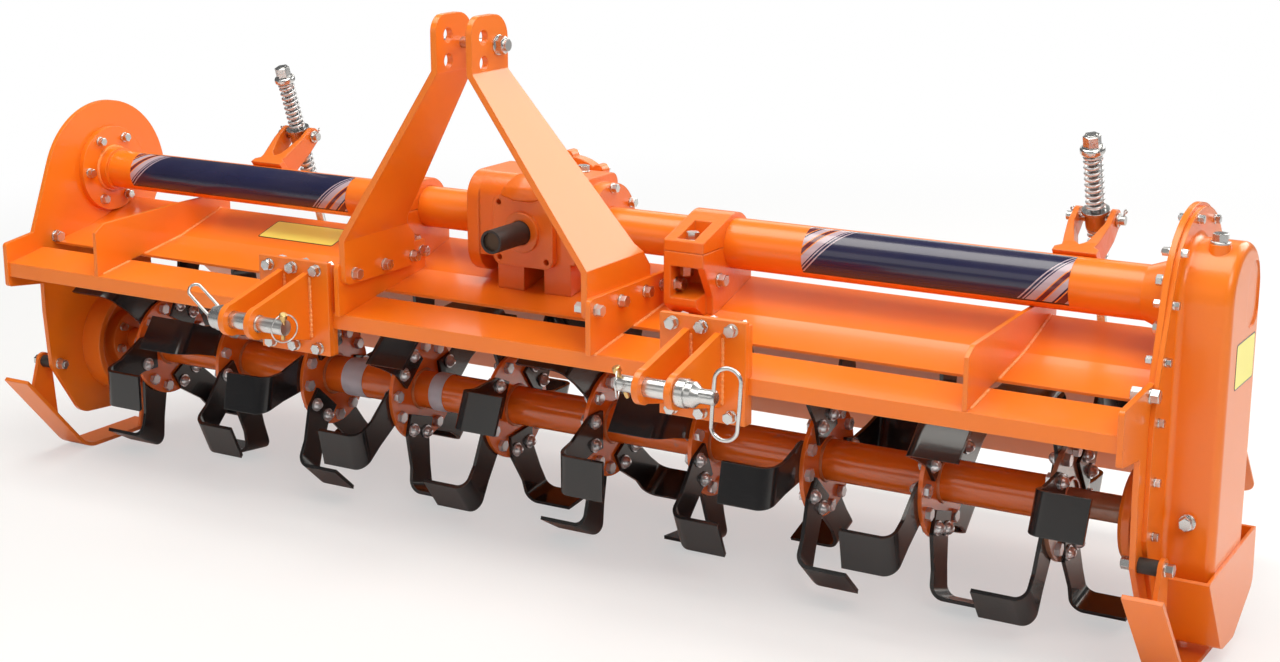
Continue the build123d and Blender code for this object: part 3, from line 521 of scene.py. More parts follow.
class Piece:
    """A mesh that starts as a primitive and is shaped in edit mode, its faces picked by centre and normal."""

    def __init__(self, kind: str, **settings: object) -> None:
        """Add the primitive at its size and place.

        Args:
            kind: the primitive, as in bpy.ops.mesh.primitive_KIND_add.
            settings: the operator's settings.
        """
        bpy.ops.object.select_all(action="DESELECT")
        getattr(bpy.ops.mesh, f"primitive_{kind}_add")(**settings)
        self.object = bpy.context.object
        bpy.ops.object.transform_apply(location=True, rotation=True, scale=True)

    @classmethod
    def of(cls, mesh: Mesh) -> "Piece":
        """Put a mesh back on an object, to be shaped further.

        Args:
            mesh: the mesh.

        Returns:
            The piece.
        """
        piece = cls.__new__(cls)
        piece.object = linked(mesh.name, mesh)
        return piece

    def pick(self) -> None:
        """Make this piece's object the only one selected, and the active one."""
        bpy.ops.object.select_all(action="DESELECT")
        bpy.context.view_layer.objects.active = self.object
        self.object.select_set(True)

    def faces(self, test: FaceTest) -> "Piece":
        """Pick the faces that pass a test.

        Args:
            test: takes a face's centre and its normal.

        Returns:
            This piece.
        """
        self.pick()
        bpy.ops.object.mode_set(mode="EDIT")
        bpy.ops.mesh.select_mode(type="FACE")
        bpy.ops.mesh.select_all(action="DESELECT")
        body = bmesh.from_edit_mesh(self.object.data)
        for face in body.faces:
            face.select_set(test(face.calc_center_median(), face.normal))
        bmesh.update_edit_mesh(self.object.data)
        bpy.ops.object.mode_set(mode="OBJECT")
        return self

    def every(self) -> "Piece":
        """Pick all faces."""
        return self.faces(lambda centre, normal: True)

    def top(self) -> "Piece":
        """Pick the faces that look up."""
        return self.faces(lambda centre, normal: normal.z > FLAT)

    def underside(self) -> "Piece":
        """Pick the faces that look down."""
        return self.faces(lambda centre, normal: normal.z < -FLAT)

    def run(self, operator: str, **settings: object) -> "Piece":
        """Run an edit-mode operator on what is picked.

        Args:
            operator: its name after bpy.ops.
            settings: its settings.

        Returns:
            This piece.
        """
        module, name = operator.split(".")
        self.pick()
        bpy.ops.object.mode_set(mode="EDIT")
        getattr(getattr(bpy.ops, module), name)(**settings)
        bpy.ops.object.mode_set(mode="OBJECT")
        return self

    def inset(self, thickness: float, depth: float) -> "Piece":
        """Inset the picked faces and raise what is inside."""
        return self.run("mesh.inset", thickness=thickness, depth=depth)

    def resize(self, *share: float) -> "Piece":
        """Resize what is picked along X, Y and Z."""
        return self.run("transform.resize", value=share)

    def shift(self, *way: float) -> "Piece":
        """Move what is picked along X, Y and Z."""
        return self.run("transform.translate", value=way)

    def modify(self, kind: str, **settings: object) -> "Piece":
        """Add a modifier and apply it.

        Args:
            kind: the modifier's type.
            settings: its attributes.

        Returns:
            This piece.
        """
        self.pick()
        modifier = self.object.modifiers.new(kind.lower(), kind)
        for name, value in settings.items():
            setattr(modifier, name, value)
        bpy.ops.object.modifier_apply(modifier=modifier.name)
        return self

    def take(self, smooth: float = 35.0) -> Mesh:
        """Merge doubles, turn faces outward, smooth the shading and lift the mesh off its object.

        Args:
            smooth: edges sharper than this angle, in degrees, stay sharp.

        Returns:
            The mesh.
        """
        self.every().run("mesh.remove_doubles", threshold=TOUCHING)
        self.run("mesh.normals_make_consistent", inside=False)
        bpy.ops.object.shade_smooth_by_angle(angle=math.radians(smooth))
        mesh = self.object.data
        bpy.data.objects.remove(self.object)
        return mesh


def joined(meshes: Iterable[Mesh], name: str = "joined") -> Mesh:
    """Join meshes into one.

    Args:
        meshes: the meshes, which are used up.
        name: the new mesh's name.

    Returns:
        The joined mesh.
    """
    body = bmesh.new()
    for mesh in meshes:
        body.from_mesh(mesh)
        bpy.data.meshes.remove(mesh)
    result = bpy.data.meshes.new(name)
    body.to_mesh(result)
    body.free()
    return result


def moved(mesh: Mesh, place: Matrix) -> Mesh:
    """Copy a mesh to a place.

    Args:
        mesh: the mesh, which stays as it is.
        place: where the copy goes.

    Returns:
        The copy.
    """
    copy = mesh.copy()
    copy.transform(place)
    return copy


def turned(degrees: float, axis: str) -> Matrix:
    """Give a turn about an axis."""
    return Matrix.Rotation(math.radians(degrees), 4, axis)


def at(point: Iterable[float], axis: Iterable[float] = (0, 0, 1), spin: float = 0.0) -> Matrix:
    """Give the place where a mesh stands on a point along an axis, turned about it by a spin in degrees."""
    turn = Vector(axis).to_track_quat("Z", "Y").to_matrix().to_4x4()
    return Matrix.Translation(Vector(point)) @ turn @ turned(spin, "Z")


def spread(master: Mesh, points: Iterable[Met | None], spin: float = 0.0,
           first: float = 0.0) -> list[Mesh]:
    """Copy a mesh to each point where a line met a surface, turned by first and then each by a spin more."""
    found = [point for point in points if point]
    return [moved(master, at(*point, first + spin * index)) for index, point in enumerate(found)]


def steps(start: float, end: float, count: int) -> list[float]:
    """Divide a stretch evenly, both ends counted."""
    return [start + (end - start) * i / count for i in range(count + 1)]


def circle(radius: float, count: int, height: float, first: float = 0.0) -> list[Spot]:
    """Spread places evenly round an axis at a height, the first at an angle in degrees."""
    angles = [math.radians(first + 360 / count * i) for i in range(count)]
    return [(radius * math.cos(a), height + radius * math.sin(a)) for a in angles]


def lay(name: str, meshes: Iterable[Mesh], finish: Finish = ZINC,
        body: Body | None = Body.FRAME) -> bpy.types.Object:
    """Join meshes into one piece that rides on a body.

    Args:
        name: the piece's name.
        meshes: its meshes, in place.
        finish: its finish.
        body: the body that carries it, or None where it rides on none.

    Returns:
        The piece.
    """
    mesh = joined(meshes, name)
    mesh.materials.append(finish.build())
    piece = linked(name, mesh)
    if body:
        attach(piece, body.value)
    LOG.info("piece %s: %d faces, %s", name, len(mesh.polygons), finish.name)
    return piece


class Probe:
    """Finds points on the surfaces of some of the frame's nodes."""

    def __init__(self, *nodes: str) -> None:
        """Keep a search tree of each node's faces.

        Args:
            nodes: the nodes' names.
        """
        self.trees = []
        for name in nodes:
            body = bmesh.new()
            body.from_mesh(frame["nodes"][name].data)
            self.trees.append(BVHTree.FromBMesh(body))
            body.free()

    def hit(self, start: Iterable[float], direction: Iterable[float]) -> Met | None:
        """Find the first surface along a line.

        Args:
            start: where the line starts.
            direction: where it runs.

        Returns:
            The point and the surface's normal there, or None where the line meets nothing.
        """
        found = [tree.ray_cast(Vector(start), Vector(direction)) for tree in self.trees]
        met = [f for f in found if f[0] is not None]
        return min(met, key=lambda f: f[3])[:2] if met else None

    def down(self, x: float, y: float) -> Met | None:
        """Find the highest surface at a place in plan."""
        return self.hit((x, y, CLEAR), (0, 0, -1))

    def across(self, x: float, way: int, spots: Iterable[Spot]) -> list[Met | None]:
        """Find what lines meet that start at x and run along +X or -X, each at its own y and z."""
        return [self.hit((x, y, z), (way, 0, 0)) for y, z in spots]


def drum(radius: float, depth: float, sides: int, middle: float = 0.0) -> Piece:
    """Start an upright cylinder with its middle at a height."""
    return Piece("cylinder", vertices=sides, radius=radius, depth=depth, location=(0, 0, middle))


def sleeve(start: float, end: float, radius: float, height: float, sides: int) -> Piece:
    """Start an open sleeve round an axis along X, at a height."""
    return Piece("cylinder", vertices=sides, radius=radius, depth=end - start, end_fill_type="NOTHING",
                 rotation=ALONG_X, location=((start + end) / 2, 0, height))


def torus(radius: float, wire: float, segments: int, sides: int = 6, **settings: object) -> Piece:
    """Start a ring of wire, with its rotation and location in the settings."""
    return Piece("torus", major_radius=radius, minor_radius=wire, major_segments=segments,
                 minor_segments=sides, **settings)


# ---- fasteners --------------------------------------------------------------------------------------
@dataclass
class Fasteners:
    """Plated bolts, nuts and washers. Shares are of a hexagon's width across flats."""

    washer_t: float = 0.0022
    washer_share: float = 0.62
    washer_rim: Spot = (0.35, 0.25)  # width and rise of its bevel, as shares of its thickness
    dome_rim: float = 0.3  # thickness of a domed head's flange, as a share of the dome's radius
    dome_flange: float = 1.25
    head_share: float = 0.62
    nut_share: float = 0.8
    thread_share: float = 0.31
    chamfer: float = 0.07
    chamfer_slope: float = 0.6
    pitch: float = 0.002
    root_share: float = 0.88
    bolt_spin: float = 15.0

    def washer(self, radius: float, thickness: float) -> Mesh:
        """Model a washer with a bevelled rim, its underside at z = 0."""
        disc = drum(radius, thickness, 20, thickness / 2).top()
        return disc.inset(*(thickness * share for share in self.washer_rim)).take()

    def hexagon(self, flats: float, height: float, base: float, both: bool = True) -> Mesh:
        """Model a hexagon with chamfered corners.

        Args:
            flats: its width across flats.
            height: its height.
            base: height of its underside.
            both: whether its underside is chamfered too, as on a nut.

        Returns:
            The mesh.
        """
        block = drum(flats / math.sqrt(3), height, 6, base + height / 2)
        chamfer = flats * self.chamfer
        block.top().inset(chamfer, chamfer * self.chamfer_slope)
        if both:
            block.underside().inset(chamfer, chamfer * self.chamfer_slope)
        return block.take(30.0)

    def thread(self, radius: float, length: float, base: float) -> Mesh:
        """Model a bolt's threaded end.

        Args:
            radius: its outer radius.
            length: its length.
            base: height of its lower end.

        Returns:
            The mesh.
        """
        turns = max(2, round(length / self.pitch))
        ring = Piece("cone", vertices=12, radius1=radius, radius2=radius * self.root_share,
                     depth=self.pitch / 2, location=(0, 0, self.pitch / 4), end_fill_type="NOTHING")
        ring.modify("MIRROR", use_axis=(False, False, True), merge_threshold=TOUCHING)
        ring.modify("ARRAY", count=turns, use_relative_offset=False, use_constant_offset=True,
                    constant_offset_displace=(0, 0, self.pitch), use_merge_vertices=True)
        mesh = ring.every().run("mesh.fill_holes", sides=12).take(20.0)
        mesh.transform(Matrix.Translation((0, 0, base + self.pitch / 2)))
        return mesh

    def bolt(self, flats: float, height: float = 0.0) -> Mesh:
        """Model a bolt head on its washer at z = 0, its height 0 for the usual share of its width."""
        head = self.hexagon(flats, height or flats * self.head_share, self.washer_t, both=False)
        return joined([self.washer(flats * self.washer_share, self.washer_t), head])

    def nut(self, flats: float, stub: float = 0.006) -> Mesh:
        """Model a nut on its washer, with a bolt's end through it.

        Args:
            flats: its width across flats.
            stub: how far the bolt's end sticks out.

        Returns:
            The mesh, its underside at z = 0.
        """
        height = flats * self.nut_share
        return joined([self.washer(flats * self.washer_share, self.washer_t),
                       self.hexagon(flats, height, self.washer_t),
                       self.thread(flats * self.thread_share, stub, self.washer_t + height)])

    def domed(self, radius: float) -> Mesh:
        """Model a flanged bolt head with a domed top.

        Args:
            radius: radius of the dome.

        Returns:
            The mesh, its underside at z = 0.
        """
        rim = radius * self.dome_rim
        flange = drum(radius * self.dome_flange, rim, 12, rim / 2)
        dome = Piece("uv_sphere", segments=10, ring_count=6, radius=radius, location=(0, 0, rim))
        dome.every().run("mesh.bisect", plane_co=(0, 0, rim), plane_no=(0, 0, 1), clear_inner=True)
        return joined([flange.take(), dome.take(ROUND)])

    def bolts(self, flats: float, points: Iterable[Met | None]) -> list[Mesh]:
        """Copy a bolt to each point where a line met a surface."""
        return spread(self.bolt(flats), points, self.bolt_spin)


@dataclass
class Assembly:
    """A sub-assembly of the machine that fasteners and other details are added to."""

    fasteners: Fasteners

    def build(self) -> None:
        """Model the sub-assembly's pieces."""
        raise NotImplementedError


# ---- springs and rods -------------------------------------------------------------------------------
def reach(node: str, origin: Vector, axis: Vector) -> Triple:
    """Measure one of the frame's nodes along an axis.

    Args:
        node: the node's name.
        origin: a point on the axis.
        axis: the axis's direction.

    Returns:
        Its lowest and highest place along the axis, and its largest distance from it.
    """
    offsets = [vertex.co - origin for vertex in frame["nodes"][node].data.vertices]
    along = [offset.dot(axis) for offset in offsets]
    radius = max((offset - axis * place).length for offset, place in zip(offsets, along))
    return min(along), max(along), radius


@dataclass
class SpringRod(Assembly):
    """Wound springs over one of the rods that press the trailing board down, with its nut and split pins."""

    side: str
    wire: float = 0.0058
    coils: int = 8
    closed_share: float = 1.04
    nut_flats: float = 0.0266
    nut_span: Spot = (0.1352, 0.1545)  # from the trunnion's middle
    rod_end: Spot = (0.0093, 0.008)  # radius and length
    washer: Spot = (0.0125, 0.0025)  # radius and thickness
    washer_out: float = 0.038
    pin_out: float = 0.044
    pin_wire: float = 0.0014
    pin_legs: Spot = (0.00182, 0.026)  # radius and length
    pin_eye: float = 0.00336
    pin_lean: Spot = (0.3, 0.4)  # how far a split pin leans along X and along Y

    def __post_init__(self) -> None:
        """Find the trunnion's middle, the rod's direction and the bodies of both."""
        joints = {joint["name"]: joint for joint in frame["record"]["behaviour"]["joints"]}
        self.origin = Vector(joints[f"{self.side}_trunnion_pivot"]["pos_m"])
        self.axis = Vector(joints[f"{self.side}_rod_slide"]["axis"]).normalized()
        self.trunnion = Body(f"{self.side}_trunnion_body")
        self.rod = Body(f"{self.side}_rod_body")

    def build(self) -> None:
        """Wind both springs and add the nut and the pins."""
        self.make_spring("upper", (self.trunnion, self.rod))
        self.make_spring("lower", (self.rod, self.trunnion))
        self.make_nut()
        self.make_pins()

    def wound(self, radius: float, length: float) -> Mesh:
        """Wind a spring whose end turns are closed.

        Args:
            radius: its outer radius.
            length: its length.

        Returns:
            The mesh, standing on z = 0.
        """
        closed = self.wire * self.closed_share
        pitch = (length - self.wire - 2 * closed) / self.coils
        foot = self.wire / 2
        turns = []
        for rise, count, base in ((closed, 1, foot), (pitch, self.coils, foot + closed),
                                  (closed, 1, foot + closed + pitch * self.coils)):
            ring = Piece("circle", vertices=8, radius=foot, rotation=ALONG_Y,
                         location=(radius - foot, 0, base))
            ring.modify("SCREW", axis="Z", angle=2 * math.pi, screw_offset=rise, iterations=count, steps=20,
                        render_steps=20, use_smooth_shade=True)
            turns.append(ring.take(ROUND))
        return Piece.of(joined(turns)).every().run("mesh.fill_holes", sides=8).take(ROUND)

    def make_spring(self, level: str, ends: tuple[Body, Body]) -> None:
        """Wind one spring in place of the frame's plain sleeve.

        Args:
            level: whether it is the upper or the lower spring.
            ends: not used.
        """
        node = f"{self.side}_{level}_spring"
        low, high, radius = reach(node, self.origin, self.axis)
        foot, head = self.origin + self.axis * low, self.origin + self.axis * high
        coil = moved(self.wound(radius, high - low), at(foot, self.axis))
        piece = lay(f"{self.side}_{level}_coil", [coil], ZINC_SPRING, None)
        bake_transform(piece)
        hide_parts(node)

    def make_nut(self) -> None:
        """Put the nut and the rod's threaded end on top."""
        low, high = self.nut_span
        nut = self.fasteners.hexagon(self.nut_flats, high - low, low)
        nut = joined([nut, self.fasteners.thread(*self.rod_end, high)])
        lay(f"{self.side}_rod_nut", [moved(nut, at(self.origin, self.axis))], ZINC, self.rod)

    def make_pins(self) -> None:
        """Put a washer and a split pin on each end of the trunnion's pins."""
        washer, pin = self.fasteners.washer(*self.washer), self.split_pin()
        across, along = self.pin_lean
        parts = []
        for way in (-1, 1):
            for mesh, out, axis in ((washer, self.washer_out, (way, 0, 0)),
                                    (pin, self.pin_out, (across, way * along, 1))):
                parts.append(moved(mesh, at(self.origin + Vector((way * out, 0, 0)), axis)))
        lay(f"{self.side}_trunnion_washers", parts, ZINC, self.trunnion)

    def split_pin(self) -> Mesh:
        """Model a split pin with its eye on top.

        Returns:
            The mesh, its middle at the origin.
        """
        legs = drum(*self.pin_legs, 8).underside().resize(0.3, 1.0, 1.0).take()
        top = self.pin_legs[1] / 2 + self.pin_wire * 2.2
        eye = torus(self.pin_eye, self.pin_wire, 14, rotation=ALONG_Y, location=(0, 0, top))
        return joined([legs, eye.take(ROUND)])


# ---- weld beads -------------------------------------------------------------------------------------
RIPPLE = (0.0042, 0.002604, 0.00252)  # half a ripple's width, length and height
RIPPLE_STEP = 0.0032  # from one ripple to the next
RIPPLE_SWELL = 0.16  # how much the ripples' sizes differ, as a share
RIPPLE_BEAT = 1.9  # how fast their sizes change along a bead
WELD_BREAK = 0.03  # a bead doesn't bridge a longer gap


def bead(points: Iterable[Met | None]) -> list[Mesh]:
    """Lay a weld bead of overlapping ripples along a surface.

    Args:
        points: where lines met the surface, with None where a line met nothing.

    Returns:
        Its ripples.
    """
    ripple = Piece("uv_sphere", segments=8, ring_count=5, radius=1.0)
    master = ripple.every().resize(*RIPPLE).take(80.0)
    met = [point for point in points if point]
    ripples = []
    for (start, normal), (end, _) in zip(met, met[1:]):
        run = end - start
        if not TOUCHING <= run.length <= WELD_BREAK:
            continue
        side = run.cross(normal).normalized()
        turn = Matrix((side, run.normalized(), side.cross(run).normalized())).transposed().to_4x4()
        count = max(1, round(run.length / RIPPLE_STEP))
        for i in range(count):
            swell = Matrix.Scale(1.0 + RIPPLE_SWELL * math.sin(len(ripples) * RIPPLE_BEAT), 4)
            ripples.append(moved(master, Matrix.Translation(start + run * i / count) @ turn @ swell))
    return ripples


# ---- hitch pins -------------------------------------------------------------------------------------
@dataclass
class HitchPins(Assembly):
    """Handles and linch pins of the two lower-link pins, and the bolts and welds of their brackets."""

    bracket_w: float = 0.163
    bolt_step: float = 0.056
    bolt_rows: Spot = (0.388, 0.536)
    bolt_flats: float = 0.0185
    ear_sides: tuple[float, ...] = (-0.038, -0.022, 0.022, 0.038)  # from a bracket's middle
    ear_span: Spot = (0.408, 0.522)
    pin_y: float = -0.456
    pin_z: float = 0.463
    left_end: float = -0.326
    right_end: float = 0.384
    collar: Spot = (0.0215, 0.012)  # radius and length, as for the next ones
    collar_out: float = 0.060
    neck: Spot = (0.0125, 0.036)
    neck_out: float = 0.084
    shank: Spot = (0.0042, 0.050)
    shank_head: Spot = (0.0072, 0.009)
    head_up: float = 0.026
    linch_across: Spot = (0.35, -0.2)  # how far the left and the right linch pin lean along X
    linch_along: float = -0.35  # how far both lean along Y
    ring: Spot = (0.0255, 0.0015)  # radius, and radius of its wire
    ring_place: Spot = (0.006, -0.004)  # from the pin's free end, outward and along Y
    ring_turn: float = -24.0
    tall_loop: Triple = (0.023, 0.0036, 0.074)  # radius of its ends and of its wire, length of its sides
    tall_place: Triple = (0.122, 0.0, -0.008)  # from the pin in the middle of its bracket
    small_loop: Triple = (0.0125, 0.0030, 0.058)
    small_place: Triple = (-0.088, -0.002, 0.026)

    def build(self) -> None:
        """Make the handles, the linch pins and the brackets' bolts and welds."""
        self.make_handles()
        self.make_linch_pins()
        self.make_bolts()
        self.make_welds()

    def middles(self) -> Spot:
        """Give the middles of both brackets across the machine."""
        low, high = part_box("hitch_brackets")
        return low.x + self.bracket_w / 2, high.x - self.bracket_w / 2

    def loop(self, radius: float, wire: float, stretch: float) -> Mesh:
        """Bend a closed loop with two straight sides.

        Args:
            radius: radius of its round ends.
            wire: radius of its wire.
            stretch: length of its straight sides.

        Returns:
            The mesh, upright along Z in the plane y = 0.
        """
        segments = 28
        ring = torus(radius, wire, segments, 8, rotation=(math.pi / 2, 0, math.pi / segments))
        for way in (-1, 1):
            ring.faces(lambda c, n: c.z * way > radius * 0.16).shift(0, 0, way * stretch / 2)
        return ring.take(ROUND)

    def make_handles(self) -> None:
        """Make both pins' handles and stepped heads."""
        left, right = (Vector((middle, self.pin_y, self.pin_z)) for middle in self.middles())
        collar = drum(*self.collar, 32).top()
        collar = collar.inset(0.004, 0.004).inset(0.005, 0.0).shift(0, 0, 0.007).take()
        parts = [moved(collar, at(pin + Vector((way * self.collar_out, 0, 0)), (way, 0, 0)))
                 for pin, way in ((left, -1), (right, 1))]
        neck = drum(*self.neck, 24)
        neck = neck.faces(lambda c, n: abs(n.z) > FLAT).inset(0.003, 0.0025).take()
        parts.append(moved(neck, at(right + Vector((self.neck_out, 0, 0)), (1, 0, 0))))
        lean = turned(-52, "Y") @ turned(35, "Z")
        for pin, place, size, tilt in ((right, self.tall_place, self.tall_loop, turned(4, "Y")),
                                       (left, self.small_place, self.small_loop, lean)):
            parts.append(moved(self.loop(*size), Matrix.Translation(pin + Vector(place)) @ tilt))
        lay("hitch_pin_handles", parts)

    def make_linch_pins(self) -> None:
        """Put a linch pin and its ring through each pin's free end."""
        shank = drum(*self.shank, 12).underside().inset(0.0012, 0.0035).take()
        pin = joined([shank, drum(*self.shank_head, 16, self.head_up).top().inset(0.002, 0.0015).take()])
        ring = torus(*self.ring, 32, rotation=ALONG_X).take(ROUND)
        out, back = self.ring_place
        pins, rings = [], []
        for end, way, lean in zip((self.left_end, self.right_end), (1, -1), self.linch_across):
            pins.append(moved(pin, at((end, self.pin_y, self.pin_z), (lean, self.linch_along, 1))))
            place = Matrix.Translation((end + way * out, self.pin_y + back, self.pin_z))
            rings.append(moved(ring, place @ turned(self.ring_turn * way, "Z")))
        lay("linch_pins", pins, BRASS_ZINC)
        lay("linch_pin_rings", rings)

    def make_bolts(self) -> None:
        """Bolt both brackets to the beam, with nuts behind."""
        fronts, backs = Probe("hitch_brackets"), Probe("bracket_backs")
        nut = self.fasteners.nut(self.bolt_flats)
        heads, nuts = [], []
        for middle in self.middles():
            for row in self.bolt_rows:
                for step in (-1, 0, 1):
                    x = middle + step * self.bolt_step
                    heads.append(fronts.hit((x, -1.0, row), (0, 1, 0)))
                    nuts += spread(nut, [backs.hit((x, 0.2, row), (0, -1, 0))], first=20 * step)
        lay("hitch_bracket_bolts", self.fasteners.bolts(self.bolt_flats, heads))
        lay("hitch_bracket_nuts", nuts)

    def make_welds(self) -> None:
        """Weld the ears to the brackets' plates."""
        surface = Probe("hitch_brackets")
        beads = []
        for middle in self.middles():
            for side in self.ear_sides:
                line = [(middle + side, -1.0, z) for z in steps(*self.ear_span, 20)]
                beads += bead(surface.hit(start, (0, 1, 0)) for start in line)
        lay("hitch_ear_welds", beads, WELD_ORANGE)


# ---- hood and labels --------------------------------------------------------------------------------
@dataclass
class HoodDetail(Assembly):
    """Weld beads along the hood's ribs and the mast's feet, and the hood's blank label."""

    rib_t: float = 0.008
    rib_span: Spot = (-0.286, 0.092)
    foot_span: Spot = (-0.306, -0.052)
    gap: float = 0.0012
    label: Edges = (-0.755, -0.560, -0.024, 0.044)  # x of its sides, y of its front and rear

    def build(self) -> None:
        """Weld the ribs and the feet down and stick the label on."""
        deck = Probe("hood", "front_beam")
        low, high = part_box("hood_ribs")
        beyond = self.rib_t + self.gap
        ribs = (low.x - self.gap, low.x + beyond, high.x - beyond, high.x + self.gap)
        self.weld("rib_welds", deck, ribs, self.rib_span)
        low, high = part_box("mast_feet")
        self.weld("mast_foot_welds", deck, (low.x - self.gap, high.x + self.gap), self.foot_span)
        x0, x1, y0, y1 = self.label
        point, normal = deck.down((x0 + x1) / 2, (y0 + y1) / 2)
        stick_label("hood_label", point, normal, (x1 - x0, (y1 - y0) / normal.z))

    def weld(self, name: str, deck: Probe, places: Iterable[float], span: Spot) -> None:
        """Lay beads on the deck from front to rear, over all that looks up.

        Args:
            name: their piece's name.
            deck: the surfaces that they lie on.
            places: their places across.
            span: their front and rear ends.
        """
        beads = []
        for x in places:
            met = [deck.down(x, y) for y in steps(*span, 60)]
            beads += bead(m for m in met if m and m[1].z > 0.5)
        lay(name, beads, WELD_ORANGE)


def plate(width: float, height: float, corner: float, thickness: float) -> Mesh:
    """Cut a thin plate with rounded corners, lying on z = 0.

    Args:
        width: its size along X.
        height: its size along Y.
        corner: radius of its corners.
        thickness: its thickness.

    Returns:
        The mesh.
    """
    sheet = Piece("plane", size=1.0).every().resize(width, height, 1)
    sheet.run("mesh.bevel", affect="VERTICES", offset=corner, segments=4)
    return sheet.modify("SOLIDIFY", thickness=thickness, offset=1.0).take(30.0)


def stick_label(name: str, point: Vector, normal: Vector, size: Spot) -> None:
    """Stick a blank yellow label with a dark border on a surface.

    Args:
        name: the label's name.
        point: its middle.
        normal: the surface's normal.
        size: its size across, and along the surface's rise.
    """
    across = Vector((1, 0, 0)) if abs(normal.x) < 0.5 else Vector((0, 1, 0))
    turn = Matrix((across, normal.cross(across), normal)).transposed().to_4x4()
    for title, rim, corner, thickness, finish in ((f"{name}_border", 0.0, 0.005, 0.0004, BLACK_PRINT),
                                                  (name, 0.0022, 0.004, 0.0006, YELLOW_LABEL)):
        sheet = plate(size[0] - 2 * rim, size[1] - 2 * rim, corner, thickness)
        lay(title, [moved(sheet, Matrix.Translation(point) @ turn)], finish)


# ---- mast, cross tube and its clamps ----------------------------------------------------------------
@dataclass
class MastDetail(Assembly):
    """Bolts of the mast's feet and nuts of its tie."""

    right_bolts: tuple[float, ...] = (-0.296, -0.215, -0.130, -0.070)  # their y
    left_bolts: tuple[float, ...] = (-0.282, -0.191, -0.103, -0.058)
    bolt_z: float = 0.532
    bolt_flats: float = 0.0185
    bolt_stub: float = 0.008
    tie_washer: Spot = (0.018, 0.0025)  # radius and thickness
    tie_nut: Spot = (0.028, 0.013)  # width across flats and height
    tie_end: Spot = (0.0104, 0.006)  # radius and length
    beside_tie: float = 0.016

    def build(self) -> None:
        """Bolt both legs to their feet and nut the tie."""
        legs = Probe("mast_left_leg", "mast_right_leg", "mast_feet")
        right, left = ([(y, self.bolt_z) for y in row] for row in (self.right_bolts, self.left_bolts))
        heads = legs.across(CLEAR, -1, right) + legs.across(MACHINE_X, -1, left)
        backs = legs.across(MACHINE_X, 1, right) + legs.across(-CLEAR, 1, left)
        lay("mast_foot_bolts", self.fasteners.bolts(self.bolt_flats, heads))
        lay("mast_foot_nuts", spread(self.fasteners.nut(self.bolt_flats, self.bolt_stub), backs, 25))
        self.make_tie_nuts()

    def make_tie_nuts(self) -> None:
        """Put a washer and a nut on each end of the tie, each leg's face met beside its hole."""
        legs = Probe("mast_left_leg", "mast_right_leg")
        low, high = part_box("mast_tie")
        y, z = (low.y + high.y) / 2, (low.z + high.z) / 2
        washer_t, nut_t = self.tie_washer[1], self.tie_nut[1]
        nut = joined([self.fasteners.washer(*self.tie_washer),
                      self.fasteners.hexagon(*self.tie_nut, washer_t),
                      self.fasteners.thread(*self.tie_end, washer_t + nut_t)])
        parts = []
        for way in (-1, 1):
            face = legs.hit((MACHINE_X + way, y + self.beside_tie, z), (-way, 0, 0))[0]
            parts.append(moved(nut, at((face.x, y, z), (way, 0, 0))))
        lay("mast_tie_nuts", parts)


